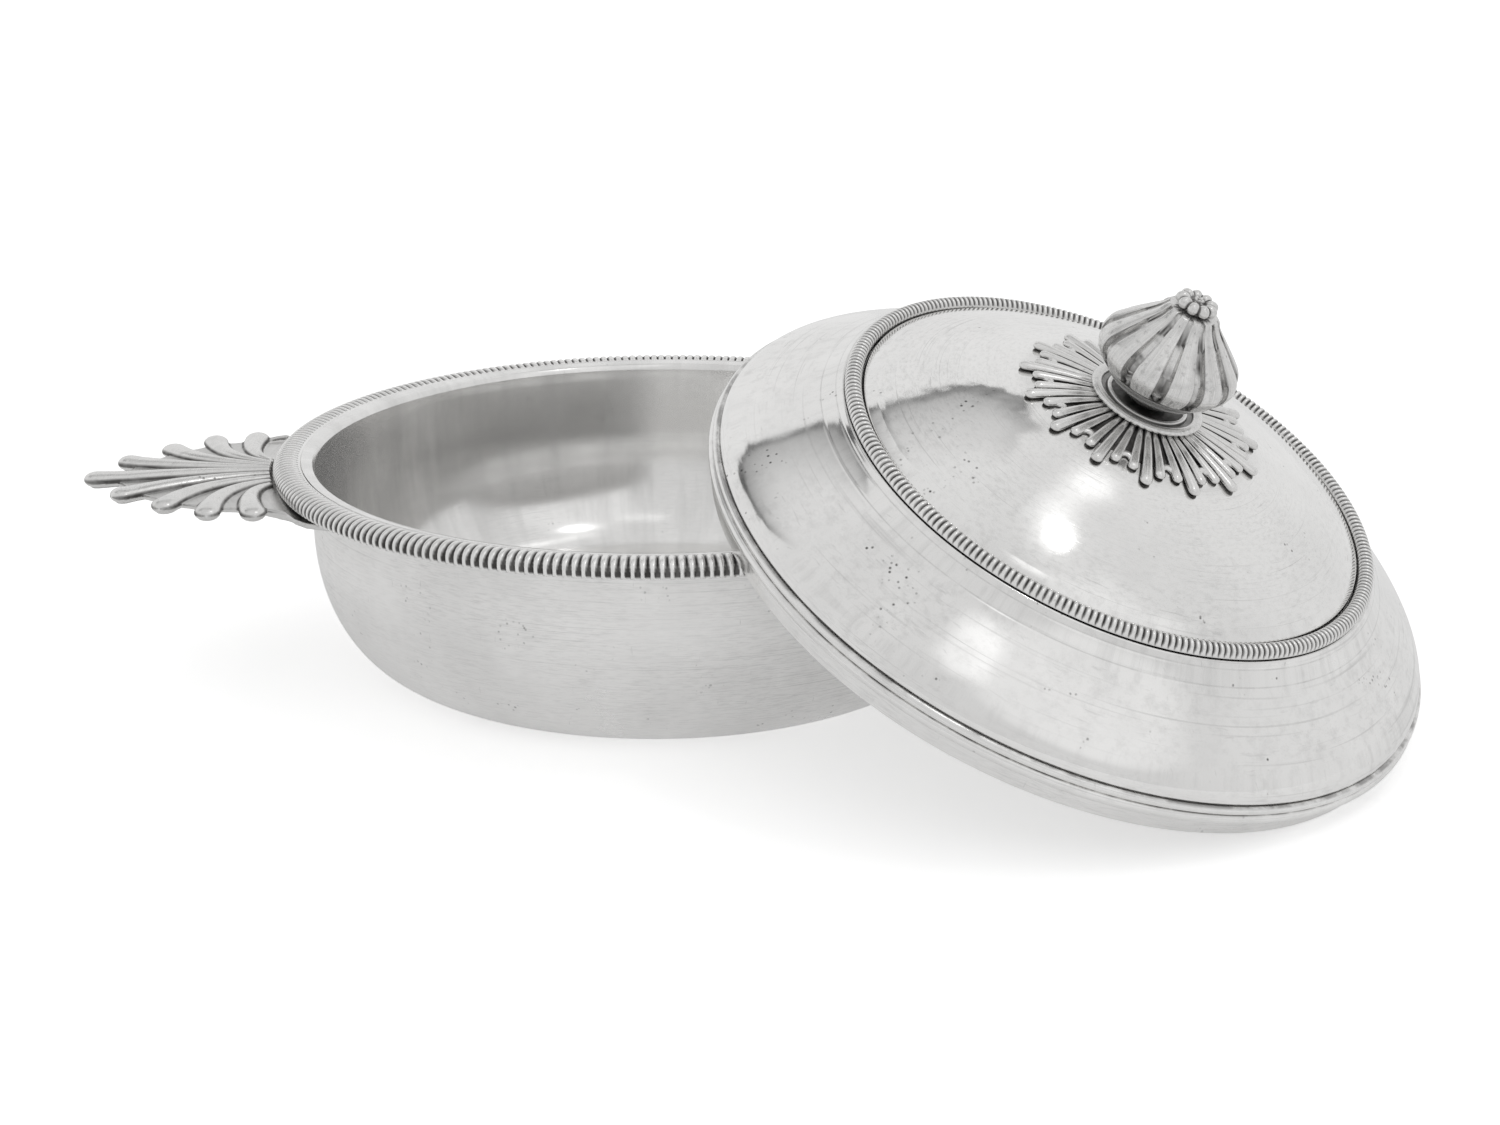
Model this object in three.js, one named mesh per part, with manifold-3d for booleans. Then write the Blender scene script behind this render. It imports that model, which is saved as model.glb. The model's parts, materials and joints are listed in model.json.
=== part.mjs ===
// Covered silver ecuelle: a shallow two-handled bowl with its lid off and leaning on the bowl's rim.
// Millimetres, +Z up. The origin is the centre of the bowl's flat underside, on the table.
// X runs through both handles. The lid leans over the right-hand handle, towards -Y.
import * as THREE from 'three';
import { mergeVertices } from 'three/addons/utils/BufferGeometryUtils.js';
import Module from 'manifold-3d';

const wasm = await Module();
wasm.setup();

// Clearances
const solderGap = 0.3;          // between pieces that are soldered or screwed together
const leanGap = 0.55;           // between the lid's edge and what it leans on
const boreGap = 0.3;            // round the finial's stud
const bezelFit = 1.0;           // between the lid's bezel and the bowl's mouth when the lid is on

// Bowl
const baseRadius = 65.7;        // flat underside that stands on the table
const bowlRadius = 88.0;        // outside of the upright wall
const bowlCurveHeight = 34.4;   // where the round bottom turns into the upright wall
const uprightHeight = 13.8;     // of the wall, up to the foot of the moulding
const bowlWall = 1.2;
const lipSetBack = 0.34;        // the mouth's edge inside the wall's outer face
const lipThroatRise = 2.5;      // heights above the foot of the moulding
const lipRootRise = 2.7;
const lipInnerRise = 3.8;
const lipOuterRise = 4.3;
const lipRootFlare = 1.3;       // radii beyond the wall
const lipFlare = 2.4;

// Moulding round the bowl's lip: part of an oval
const rimMould = {
  setOut: 3.0,                  // from the lip's edge to the middle of the oval
  rise: 2.0,                    // of that middle above the moulding's foot
  halfWidth: 3.9,
  halfHeight: 3.0,
  footSetOut: 1.6,              // outer edge of the flat foot beyond the oval's middle
  startTurn: -10,               // degrees round the oval
  endTurn: 110,
};
const rimReeds = 282;
const rimReedDepth = 0.7;
const slotEndShares = [0.33, 0.67]; // of the way across, where the slots reach their full depth

// Palmette handles
const handleReach = 45.1;       // from the moulding to the tip of the middle lobe
const handleHalfWidth = 35.9;
const handleRootHalfWidth = 9.0;
const lobeHalfWidth = 3.4;      // at the round end of a lobe
const lobeRootHalfWidth = 0.9;
const lobeFlarePower = 1.3;     // how late a lobe widens along its line
const plateRise = 0.4;          // underside of the cast plate above the moulding's foot
const plateThick = 1.2;         // at the webs between the lobes
const ribHeight = 1.6;          // of a lobe above the webs
const tipLift = 0.3;            // the left handle rises a little towards its tip
const farHandleDroop = 6;       // degrees: the right handle is bent a little down under the lid
const wingTurn = 26;            // degrees: how far the soldered wing reaches each way round the bowl
const wingThick = 1.6;
const wingWidth = 4.8;          // of the wing at its ends
const wingSlope = 1.6;          // the wing's edge stays this far inside the handle's root
const neckShare = 0.8;          // of the outermost lobe, whose foot the neck carries

// Lobes from the middle one outwards: ends and bends as shares of the reach and the half width
const lobeAlongShares = [1, 0.83, 0.57, 0.32, 0.07];
const lobeSideShares = [0, 0.44, 0.75, 0.95, 1];
const lobeBendShares = [0.5, 0.5, 0.44, 0.32, 0.17];
const lobeBendSideShares = [0, 0.16, 0.3, 0.42, 0.5];
const lobeRanks = lobeAlongShares.length - 1;
// Points of one lobe: across its width, along its line, and how high it stands there
const acrossShares = [-1, -0.6, 0, 0.6, 1];
const alongShares = [0, 0.3, 0.6, 0.85, 0.96, 1];
const swellShares = [0.7, 0.9, 1, 1, 0.8, 0.3];

// Where the lid lies: its edge rests on the moulding, on the right handle and on the table
const lidRestTurn = -88.2;      // degrees round the bowl, on the moulding
const lidRestRoll = 53;         // degrees round the moulding's section
const lidRestAlongShare = 0.84; // of the handle's reach
const lidRestSideShare = -0.096;

// Lid, in its own frame: +Z along its axis, zero at the lower edge of its bezel
const bezelWall = 1.1;
const beadFoot = 4.9;           // lower edge of the twin-bead moulding
const lowerBead = { proud: 2.6, height: 2.5 };
const upperBead = { proud: 2.3, height: 1.9 };
const beadGroove = 0.5;
const lidWall = 1.2;
const shoulderProud = 1.1;      // of the raised shoulder's foot beyond the bezel
const shoulderWidth = 21.8;     // from the shoulder's foot in to the ledge
const shoulderHeight = 20.3;
const shoulderFootShare = 0.25; // pulls of the shoulder's curve
const shoulderTopInShare = 0.71;
const shoulderTopUpShare = 0.59;
const ledgeWidth = 4.5;
const domeRise = 19.1;          // top of the dome above the ledge
const domeEdgeRise = 1.7;       // edge of the dome above the ledge
const domeStepWidth = 2.4;
const domeStepRise = 0.6;

// Raised band round the dome
const lidBand = { width: 3.7, crestSetIn: 1.9, height: 2.4, shoulderRise: 1.3 };
const bandReeds = 272;
const bandReedDepth = 0.5;

// Leaf rosette
const rosetteRadius = 29.2;     // tips of the middle fingers
const rosetteSideRadius = 25.8;
const rosetteArchRadius = 21.5; // crowns of the arches between the threes
const rosetteGroups = 15;
const rosetteTurn = 4.1;        // degrees
const rosetteThick = 2.1;       // along a finger
const rosetteValley = 0.9;      // between two fingers
const rosetteHub = 0.4;         // under the collar
const rosetteHoleRadius = 8.0;  // the collar's spigot sits in it
const fingerTipShare = 0.7;

// Finial
const studRadius = 2.0;
const collarRadius = 13.4;
const collarHeight = 1.5;
const collarBead = 2.4;         // widths across the collar, from its edge inwards
const collarGroove = 1.5;
const collarInnerBead = 1.3;
const stemRadius = 5.2;
const stemHeight = 4.8;         // from the collar up to the bud
const budFoot = { radius: 14.2, rise: 2.0 };
const budBelly = { radius: 16.2, rise: 5.3 };
const budShoulder = { radius: 14.1, rise: 9.5 };
const budWaist = { radius: 10.5, rise: 13.1 };
const budThroat = { radius: 7.2, rise: 16.0 };
const budNeckRadius = 4.8;
const budHeight = 18.6;         // from the underside to the neck
const budUnderShare = 0.7;      // plain part of the underside
const budPetals = 12;
const fluteDepth = 1.1;
const petalSwellShares = [0, 0.85, 1, 0.85];
const flowerRadius = 5.0;
const flowerHeight = 3.4;
const flowerPetals = 8;
const flowerFootShare = 0.7;
const flowerSpreadShare = 0.45;
const flowerTopShare = 0.72;
const flowerEyeShare = 0.35;
const flowerEyeRiseShare = 0.85;
const flowerNotchShares = [0.14, 0, 0];
const washerRadius = 8.0;
const washerThick = 1.2;
const nutAcross = 7.0;          // across the flats
const nutHeight = 3.2;
const nutSides = 6;
const studSeat = 8.0;           // how far the stud reaches into the bud

// Facets
const shellSteps = 48;
const profileSteps = 7;
const reedsPerStep = 3;         // reeds to one step of the plain edges beside them
const collarSteps = 36;
const smallSteps = 24;
const mergeTolerance = 1e-4;

// Places that follow from the sizes
const seamHeight = bowlCurveHeight + uprightHeight;
const lipOuterRadius = bowlRadius + lipFlare;
const mouldRadius = lipOuterRadius + rimMould.setOut;
const handleRoot = mouldRadius + rimMould.halfWidth + solderGap;
const wingFoot = seamHeight - solderGap - wingThick;
const bezelRadius = bowlRadius - bowlWall - bezelFit;
const shoulderRadius = bezelRadius + shoulderProud;
const shoulderFoot = beadFoot + lowerBead.height + upperBead.height + solderGap;
const ledgeRadius = shoulderRadius - shoulderWidth;
const ledgeHeight = shoulderFoot + shoulderHeight;
const ledgeInnerRadius = ledgeRadius - ledgeWidth;
const domeStepRadius = ledgeInnerRadius - domeStepWidth;
const domeHeight = ledgeHeight + domeRise;
const domeRound = ledgeInnerRadius ** 2 / (2 * (domeRise - domeEdgeRise));
const domeAt = (r) => domeHeight - r ** 2 / (2 * domeRound);
const hole = studRadius + boreGap;
const aboveDome = (r) => domeAt(r) + solderGap;
const aboveRosette = (r) => aboveDome(r) + rosetteHub + solderGap;
const collarFoot = aboveRosette(collarRadius);
const collarTop = collarFoot + collarHeight;
const collarMiddle = collarFoot + collarHeight / 2;
const budFootHeight = collarTop + stemHeight;
const washerTop = domeAt(washerRadius) - lidWall - solderGap;
const nutTop = washerTop - washerThick - solderGap;

const silver = (color, roughness) => new THREE.MeshStandardMaterial({ color, roughness, metalness: 1 });

function part(name, geometry, material) {
  const mesh = new THREE.Mesh(geometry, material);
  mesh.name = name;
  return mesh;
}

// Merges equal corners, drops collapsed triangles and turns the faces outwards.
function solid(positions, faces) {
  const loose = new THREE.BufferGeometry();
  const numbers = positions.flatMap((p) => [p.x, p.y, p.z]);
  loose.setAttribute('position', new THREE.Float32BufferAttribute(numbers, 3));
  loose.setIndex(faces.flat());
  const merged = mergeVertices(loose, mergeTolerance);
  const index = [];
  const corners = merged.index.array;
  for (let i = 0; i < corners.length; i += 3) {
    const [a, b, c] = [corners[i], corners[i + 1], corners[i + 2]];
    if (a !== b && b !== c && c !== a) index.push([a, b, c]);
  }
  const place = merged.attributes.position;
  const at = (i) => new THREE.Vector3().fromBufferAttribute(place, i);
  const volume = index.reduce((sum, [a, b, c]) => sum + at(a).dot(at(b).cross(at(c))), 0);
  merged.setIndex(volume > 0 ? index.flat() : index.flatMap(([a, b, c]) => [a, c, b]));
  merged.computeVertexNormals();
  return merged;
}

// Joins closed sections of equal point counts, all the way round or from end to end.
function loft(sections, round) {
  const count = sections[0].length;
  const faces = [];
  const spans = round ? sections.length : sections.length - 1;
  for (let i = 0; i < spans; i += 1) {
    const next = (i + 1) % sections.length;
    for (let j = 0; j < count; j += 1) {
      const a = i * count + j;
      const b = i * count + (j + 1) % count;
      const c = next * count + (j + 1) % count;
      const d = next * count + j;
      faces.push([a, b, c], [a, c, d]);
    }
  }
  return solid(sections.flat(), faces);
}

// A section of [radius, height] points, placed at an angle round the axis.
function turned(section, angle) {
  return section.map(([r, z]) => new THREE.Vector3(r * Math.cos(angle), r * Math.sin(angle), z));
}

// A solid of revolution whose section may change with the step round the axis.
function revolve(steps, sectionAt) {
  const sections = [];
  for (let i = 0; i < steps; i += 1) {
    sections.push(turned(sectionAt(i), (i / steps) * 2 * Math.PI));
  }
  return loft(sections, true);
}

// A ring of points, one at each step round the axis.
function ringOf(stepCount, pointAt) {
  const steps = Math.round(stepCount);
  const ring = [];
  for (let i = 0; i < steps; i += 1) ring.push(...turned([pointAt(i)], (i / steps) * 2 * Math.PI));
  return ring;
}

// Joins rings of points, each with its own number of steps, into a closed ring-shaped solid.
function zip(rings) {
  const faces = [];
  const starts = rings.map((ring, k) => rings.slice(0, k).reduce((sum, other) => sum + other.length, 0));
  rings.forEach((ring, k) => {
    const beside = (k + 1) % rings.length;
    const count = ring.length;
    const besideCount = rings[beside].length;
    const at = (i) => starts[k] + i % count;
    const across = (j) => starts[beside] + j % besideCount;
    let i = 0;
    let j = 0;
    while (i < count || j < besideCount) {
      if ((i + 1) * besideCount <= (j + 1) * count) {
        faces.push([at(i), at(i + 1), across(j)]);
        i += 1;
      } else {
        faces.push([at(i), across(j + 1), across(j)]);
        j += 1;
      }
    }
  });
  return solid(rings.flat(), faces);
}

// A lathe-turned solid: the profile starts and ends on the axis, or closes on itself.
function lathe(profile, steps) {
  const points = profile.map(([r, z]) => new THREE.Vector2(r, z));
  const onAxis = profile[0][0] === 0;
  const closed = onAxis ? points : [...points, points[0].clone()];
  const shape = new THREE.LatheGeometry(closed, steps).rotateX(Math.PI / 2);
  shape.deleteAttribute('normal');
  shape.deleteAttribute('uv');
  const place = shape.attributes.position;
  const corners = [];
  for (let i = 0; i < place.count; i += 1) corners.push(new THREE.Vector3().fromBufferAttribute(place, i));
  const faces = [];
  for (let i = 0; i < shape.index.count; i += 3) faces.push([...shape.index.array.slice(i, i + 3)]);
  return solid(corners, faces);
}

// Moves each point of an open outline inwards by the wall, along the outline's left normal.
function inset(outline, wall) {
  return outline.map((point, i) => {
    const before = outline[Math.max(i - 1, 0)];
    const after = outline[Math.min(i + 1, outline.length - 1)];
    const along = new THREE.Vector2(after[0] - before[0], after[1] - before[1]).normalize();
    return [point[0] - along.y * wall, point[1] + along.x * wall];
  });
}

function toManifold(geometry) {
  const vertProperties = new Float32Array(geometry.attributes.position.array);
  const triVerts = new Uint32Array(geometry.index.array);
  return new wasm.Manifold(new wasm.Mesh({ numProp: 3, vertProperties, triVerts }));
}

function join(geometries) {
  const whole = geometries.map(toManifold).reduce((a, b) => a.add(b));
  const mesh = whole.getMesh();
  const joined = new THREE.BufferGeometry();
  joined.setAttribute('position', new THREE.Float32BufferAttribute(mesh.vertProperties, 3));
  joined.setIndex([...mesh.triVerts]);
  joined.computeVertexNormals();
  return joined;
}

// Bowl: raised from sheet, with a flat underside, round bottom, upright wall and sloping lip.
function bowlShell() {
  const round = [];
  for (let i = 0; i <= profileSteps; i += 1) {
    const turn = (i / profileSteps) * Math.PI / 2;
    const radius = baseRadius + (bowlRadius - baseRadius) * Math.sin(turn);
    round.push([radius, bowlCurveHeight * (1 - Math.cos(turn))]);
  }
  const outside = [...round, [bowlRadius, seamHeight]];
  const inside = inset(outside, bowlWall).reverse();
  const lip = [
    [bowlRadius + lipRootFlare, seamHeight + lipRootRise],
    [lipOuterRadius, seamHeight + lipOuterRise],
    [bowlRadius - lipSetBack, seamHeight + lipInnerRise],
    [bowlRadius - bowlWall, seamHeight + lipThroatRise],
  ];
  return lathe([[0, 0], ...outside, ...lip, ...inside, [0, bowlWall]], shellSteps);
}

// Oval moulding soldered round the lip, with slots between its reeds that run out at both edges.
function rimMoulding() {
  const plain = (radius, rise) => ringOf(rimReeds / reedsPerStep, () => [radius, seamHeight + rise]);
  const across = (share, cut) => {
    const degrees = THREE.MathUtils.lerp(rimMould.startTurn, rimMould.endTurn, share);
    const turn = THREE.MathUtils.degToRad(degrees);
    return [
      mouldRadius + (rimMould.halfWidth - cut) * Math.cos(turn),
      rimMould.rise + (rimMould.halfHeight - cut) * Math.sin(turn)];
  };
  const reeded = (share) => ringOf(rimReeds * 2, (step) => {
    const [radius, rise] = across(share, step % 2 === 0 ? 0 : rimReedDepth);
    return [radius, seamHeight + rise];
  });
  return zip([
    plain(mouldRadius + rimMould.footSetOut, 0),
    plain(...across(0, 0)),
    ...slotEndShares.map(reeded),
    plain(...across(1, 0)),
    plain(lipOuterRadius + solderGap, lipOuterRise),
    plain(bowlRadius + lipRootFlare + solderGap, lipRootRise),
    plain(bowlRadius + solderGap, 0),
  ]);
}

// The middle line of one lobe, from the moulding to its end.
function lobeLine(lobe) {
  const rank = Math.abs(lobe);
  const side = Math.sign(lobe);
  const startSide = handleRootHalfWidth * lobe / lobeRanks;
  const start = new THREE.Vector2(Math.sqrt((handleRoot + solderGap) ** 2 - startSide ** 2), startSide);
  start.x = Math.max(start.x, handleRoot);
  const end = new THREE.Vector2(
    handleRoot + handleReach * lobeAlongShares[rank], side * handleHalfWidth * lobeSideShares[rank]);
  const bend = new THREE.Vector2(
    handleRoot + handleReach * lobeBendShares[rank], side * handleHalfWidth * lobeBendSideShares[rank]);
  return new THREE.QuadraticBezierCurve(start, bend, end);
}

// Cast palmette: lobes side by side as ridges, with webs between them and a flat back.
function palmette(droop) {
  const fall = Math.tan(THREE.MathUtils.degToRad(droop));
  const back = seamHeight + plateRise;
  const sag = (x) => (x - handleRoot) * (tipLift / handleReach - fall);
  const columns = [];
  for (let lobe = -lobeRanks; lobe <= lobeRanks; lobe += 1) {
    const line = lobeLine(lobe);
    const length = line.getLength();
    for (const across of acrossShares) {
      const reach = 1 - (lobeHalfWidth / length) * (1 - Math.sqrt(1 - across ** 2));
      const column = alongShares.map((share, row) => {
        const t = share * reach;
        const middle = line.getPoint(t);
        const along = line.getTangent(t);
        const half = THREE.MathUtils.lerp(lobeRootHalfWidth, lobeHalfWidth, t ** lobeFlarePower) * across;
        const x = middle.x - along.y * half;
        const y = middle.y + along.x * half;
        const swell = ribHeight * Math.sqrt(1 - across ** 2) * swellShares[row];
        return new THREE.Vector3(x, y, back + plateThick + swell + sag(x));
      });
      columns.push(column);
    }
  }
  return plate(columns, (p) => new THREE.Vector3(p.x, p.y, back + sag(p.x)));
}

// A closed plate under a grid of top points: walls along its edge and a back face.
function plate(columns, backOf) {
  const rows = columns[0].length;
  const last = columns.length - 1;
  const top = columns.flat();
  const faces = [];
  for (let i = 0; i < last; i += 1) {
    for (let j = 0; j < rows - 1; j += 1) {
      const a = i * rows + j;
      faces.push([a, a + 1, a + rows + 1], [a, a + rows + 1, a + rows]);
    }
  }
  const edge = [];
  for (let j = 0; j < rows; j += 1) edge.push(j);
  for (let i = 1; i <= last; i += 1) edge.push(i * rows + rows - 1);
  for (let j = rows - 2; j >= 0; j -= 1) edge.push(last * rows + j);
  for (let i = last - 1; i > 0; i -= 1) edge.push(i * rows);
  const back = edge.map((i) => backOf(top[i]));
  const first = top.length;
  edge.forEach((corner, k) => {
    const next = (k + 1) % edge.length;
    faces.push([corner, first + k, first + next], [corner, first + next, edge[next]]);
  });
  const flat = back.map((p) => new THREE.Vector2(p.x, p.y));
  const turn = THREE.ShapeUtils.isClockWise(flat) ? 1 : -1;
  for (const [a, b, c] of THREE.ShapeUtils.triangulateShape(flat, [])) {
    faces.push(turn > 0 ? [first + a, first + b, first + c] : [first + a, first + c, first + b]);
  }
  return solid([...top, ...back], faces);
}

// Outer corner of the neck, at the foot of the outermost lobe.
const neckCorner = () => lobeLine(lobeRanks).getPoint(neckShare);

function slab(shape, foot, top) {
  const options = { depth: top - foot, bevelEnabled: false, curveSegments: profileSteps };
  const geometry = new THREE.ExtrudeGeometry(shape, options).translate(0, 0, foot);
  geometry.deleteAttribute('normal');
  geometry.deleteAttribute('uv');
  return mergeVertices(geometry, mergeTolerance);
}

// The flared root of a handle: a thin wing under the moulding, against the bowl's wall.
function wing() {
  const turn = THREE.MathUtils.degToRad(wingTurn);
  const inner = bowlRadius + solderGap;
  const tip = new THREE.Vector2(Math.cos(turn), Math.sin(turn)).multiplyScalar(inner + wingWidth);
  const corner = neckCorner();
  const bend = new THREE.Vector2(handleRoot - wingSlope, corner.y + wingWidth);
  const shape = new THREE.Shape();
  shape.absarc(0, 0, inner, -turn, turn, false);
  shape.lineTo(tip.x, tip.y);
  shape.quadraticCurveTo(bend.x, bend.y, corner.x, corner.y);
  shape.lineTo(corner.x, -corner.y);
  shape.quadraticCurveTo(bend.x, -bend.y, tip.x, -tip.y);
  shape.closePath();
  return slab(shape, wingFoot, wingFoot + wingThick);
}

// The block that carries the palmette on its wing, just outside the moulding.
function handleNeck() {
  const corner = neckCorner();
  const reach = Math.asin(corner.y / handleRoot);
  const shape = new THREE.Shape();
  shape.absarc(0, 0, handleRoot, -reach, reach, false);
  shape.lineTo(corner.x, corner.y);
  shape.lineTo(corner.x, -corner.y);
  shape.closePath();
  return slab(shape, wingFoot, seamHeight + plateRise + plateThick);
}

function handle(droop) {
  return join([palmette(droop), wing(), handleNeck()]);
}

// Lays the lid down: its edge is a circle through both rests whose lowest point is on the table.
function lidPlace() {
  const turn = THREE.MathUtils.degToRad(lidRestTurn);
  const roll = THREE.MathUtils.degToRad(lidRestRoll);
  const radius = mouldRadius + (rimMould.halfWidth + leanGap) * Math.cos(roll);
  const rise = seamHeight + rimMould.rise + (rimMould.halfHeight + leanGap) * Math.sin(roll);
  const onRim = new THREE.Vector3(radius * Math.cos(turn), radius * Math.sin(turn), rise);
  const along = handleReach * lidRestAlongShare;
  const fall = Math.tan(THREE.MathUtils.degToRad(farHandleDroop));
  const ribTop = seamHeight + plateRise + plateThick + ribHeight;
  const onHandle = new THREE.Vector3(
    handleRoot + along, handleHalfWidth * lidRestSideShare,
    ribTop + leanGap + along * (tipLift / handleReach - fall));
  const middle = onRim.clone().add(onHandle).multiplyScalar(0.5);
  const chord = onHandle.clone().sub(onRim);
  const half = chord.length() / 2;
  chord.normalize();
  const depth = Math.sqrt(bezelRadius ** 2 - half ** 2);
  const slope = middle.z ** 2 - (bezelRadius * chord.z) ** 2;
  const root = Math.sqrt((middle.z * depth) ** 2 + half ** 2 * slope);
  const drop = (middle.z * depth - root) / half ** 2;
  const up = new THREE.Vector3(0, 0, 1).addScaledVector(chord, -chord.z).normalize();
  const level = new THREE.Vector3(-chord.y, chord.x, 0).normalize();
  if (level.dot(middle) < 0) level.negate();
  const share = drop / up.z;
  const inward = up.multiplyScalar(share).addScaledVector(level, Math.sqrt(1 - share ** 2));
  const centre = middle.addScaledVector(inward, depth);
  const axis = new THREE.Vector3().crossVectors(chord, inward);
  if (axis.z < 0) axis.negate();
  const side = new THREE.Vector3(0, 0, 1).cross(axis).normalize();
  const across = new THREE.Vector3().crossVectors(axis, side);
  return new THREE.Matrix4().makeBasis(side, across, axis).setPosition(centre);
}

// Plain upright ring that fits into the bowl's mouth when the lid is on.
function lidBezel() {
  const inner = bezelRadius - bezelWall;
  const top = shoulderFoot - solderGap;
  return lathe([[inner, 0], [bezelRadius, 0], [bezelRadius, top], [inner, top]], shellSteps);
}

// Twin-bead moulding round the bezel, which sits on the bowl's lip when the lid is on.
function lidRimMoulding() {
  const inner = bezelRadius + solderGap;
  const lower = bezelRadius + lowerBead.proud;
  const upper = bezelRadius + upperBead.proud;
  const seam = beadFoot + lowerBead.height;
  const top = seam + upperBead.height;
  return lathe([
    [inner, beadFoot],
    [lower - beadGroove, beadFoot],
    [lower, beadFoot + lowerBead.height / 3],
    [lower, beadFoot + lowerBead.height * 2 / 3],
    [upper - beadGroove, seam],
    [upper, seam + upperBead.height / 2],
    [(upper + inner) / 2, top],
    [inner, top],
  ], shellSteps);
}

// Raised lid: swelling shoulder, hollow sweep, ledge for the band, small step and dome.
function lidShell() {
  const sweep = new THREE.CubicBezierCurve(
    new THREE.Vector2(shoulderRadius, shoulderFoot),
    new THREE.Vector2(shoulderRadius, shoulderFoot + shoulderHeight * shoulderFootShare),
    new THREE.Vector2(
      shoulderRadius - shoulderWidth * shoulderTopInShare,
      shoulderFoot + shoulderHeight * shoulderTopUpShare),
    new THREE.Vector2(ledgeRadius, ledgeHeight));
  const shoulder = sweep.getPoints(profileSteps).map((p) => [p.x, p.y]);
  const dome = [];
  for (let i = 1; i <= profileSteps; i += 1) {
    const r = THREE.MathUtils.lerp(domeStepRadius, hole, i / profileSteps);
    dome.push([r, domeAt(r)]);
  }
  const stepTop = domeAt(domeStepRadius);
  const ledgeCorner = [ledgeInnerRadius, ledgeHeight];
  const outside = [
    ...shoulder,
    ledgeCorner,
    [ledgeInnerRadius - solderGap, ledgeHeight + domeEdgeRise - solderGap],
    [domeStepRadius + domeStepRise, stepTop - domeStepRise],
    [domeStepRadius, stepTop],
    ...dome,
  ];
  const inside = [
    [shoulderRadius - lidWall, shoulderFoot],
    ...inset([...shoulder, ledgeCorner, [domeStepRadius, stepTop], ...dome], lidWall).slice(1, -1),
    [hole, domeAt(hole) - lidWall],
  ];
  return lathe([...outside, ...inside.reverse()], shellSteps);
}

// Band in the angle of the ledge, with fine slots between its reeds.
function lidBandRing() {
  const foot = ledgeHeight + solderGap;
  const inner = ledgeInnerRadius + solderGap;
  const outer = inner + lidBand.width;
  const plain = (radius, height) => ringOf(bandReeds / reedsPerStep, () => [radius, height]);
  const crest = ringOf(bandReeds * 2, (step) => {
    const slot = step % 2 === 0 ? 0 : bandReedDepth;
    return [outer - lidBand.crestSetIn - slot, foot + lidBand.height - slot];
  });
  return zip([
    plain(inner, foot),
    plain(outer, foot),
    plain(outer, foot + lidBand.shoulderRise),
    crest,
    plain(inner, foot + lidBand.height - solderGap),
  ]);
}

// Sunburst of leaf fingers in threes, with an arch between one three and the next.
const fingers = [
  { reach: rosetteRadius, thick: rosetteThick },
  { reach: rosetteSideRadius, thick: rosetteValley },
  { reach: rosetteSideRadius, thick: rosetteThick },
  { reach: rosetteArchRadius, thick: rosetteValley },
  { reach: rosetteSideRadius, thick: rosetteThick },
  { reach: rosetteSideRadius, thick: rosetteValley },
];

function leafRosette() {
  const near = collarRadius;
  const geometry = revolve(rosetteGroups * fingers.length, (i) => {
    const { reach, thick } = fingers[i % fingers.length];
    const far = (near + reach) / 2;
    return [
      [rosetteHoleRadius, aboveDome(rosetteHoleRadius)],
      [near, aboveDome(near)],
      [far, aboveDome(far)],
      [reach, aboveDome(reach)],
      [reach, aboveDome(reach) + thick * fingerTipShare],
      [far, aboveDome(far) + thick],
      [near, aboveDome(near) + rosetteHub],
      [rosetteHoleRadius, aboveDome(rosetteHoleRadius) + rosetteHub],
    ];
  });
  return geometry.rotateZ(THREE.MathUtils.degToRad(rosetteTurn));
}

// Turned ring under the bud: an outer bead, a groove, a small inner bead, a well and a spigot below.
function finialCollar() {
  const groove = collarRadius - collarBead;
  const innerBead = groove - collarGroove;
  const well = innerBead - collarInnerBead;
  const spigot = rosetteHoleRadius - solderGap;
  return lathe([
    [hole, aboveDome(hole)],
    [spigot, aboveDome(spigot)],
    [spigot, aboveRosette(spigot)],
    [collarRadius, collarFoot],
    [collarRadius, collarMiddle],
    [collarRadius - collarBead / 2, collarTop],
    [groove, collarMiddle],
    [innerBead, collarTop - solderGap],
    [well, collarTop - solderGap],
    [well, collarMiddle],
    [hole, collarMiddle],
  ], collarSteps);
}

// Fluted bud: petals swell between narrow grooves, up from a plain round underside to the neck.
function finialBud() {
  const foot = budFootHeight;
  const stemFoot = collarMiddle + solderGap;
  return revolve(budPetals * petalSwellShares.length, (i) => {
    const groove = fluteDepth * (1 - petalSwellShares[i % petalSwellShares.length]);
    const petal = [budFoot, budBelly, budShoulder, budWaist, budThroat];
    return [
      [0, foot + studSeat],
      [hole, foot + studSeat],
      [hole, stemFoot],
      [stemRadius, stemFoot],
      [stemRadius, foot],
      [budFoot.radius * budUnderShare, foot],
      ...petal.map(({ radius, rise }) => [radius - groove, foot + rise]),
      [budNeckRadius - groove / 2, foot + budHeight],
      [0, foot + budHeight],
    ];
  });
}

// Small open flower that caps the bud.
function finialFlower() {
  const foot = budFootHeight + budHeight + solderGap;
  return revolve(flowerPetals * flowerNotchShares.length, (i) => {
    const edge = (share) => flowerRadius * (share - flowerNotchShares[i % flowerNotchShares.length]);
    return [
      [0, foot],
      [edge(flowerFootShare), foot],
      [edge(1), foot + flowerHeight * flowerSpreadShare],
      [edge(flowerTopShare), foot + flowerHeight],
      [flowerRadius * flowerEyeShare, foot + flowerHeight * flowerEyeRiseShare],
      [0, foot + flowerHeight],
    ];
  });
}

function finialStud() {
  const foot = nutTop - nutHeight - studRadius;
  const top = budFootHeight + studSeat - solderGap;
  return lathe([[0, foot], [studRadius, foot], [studRadius, top], [0, top]], smallSteps);
}

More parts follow.
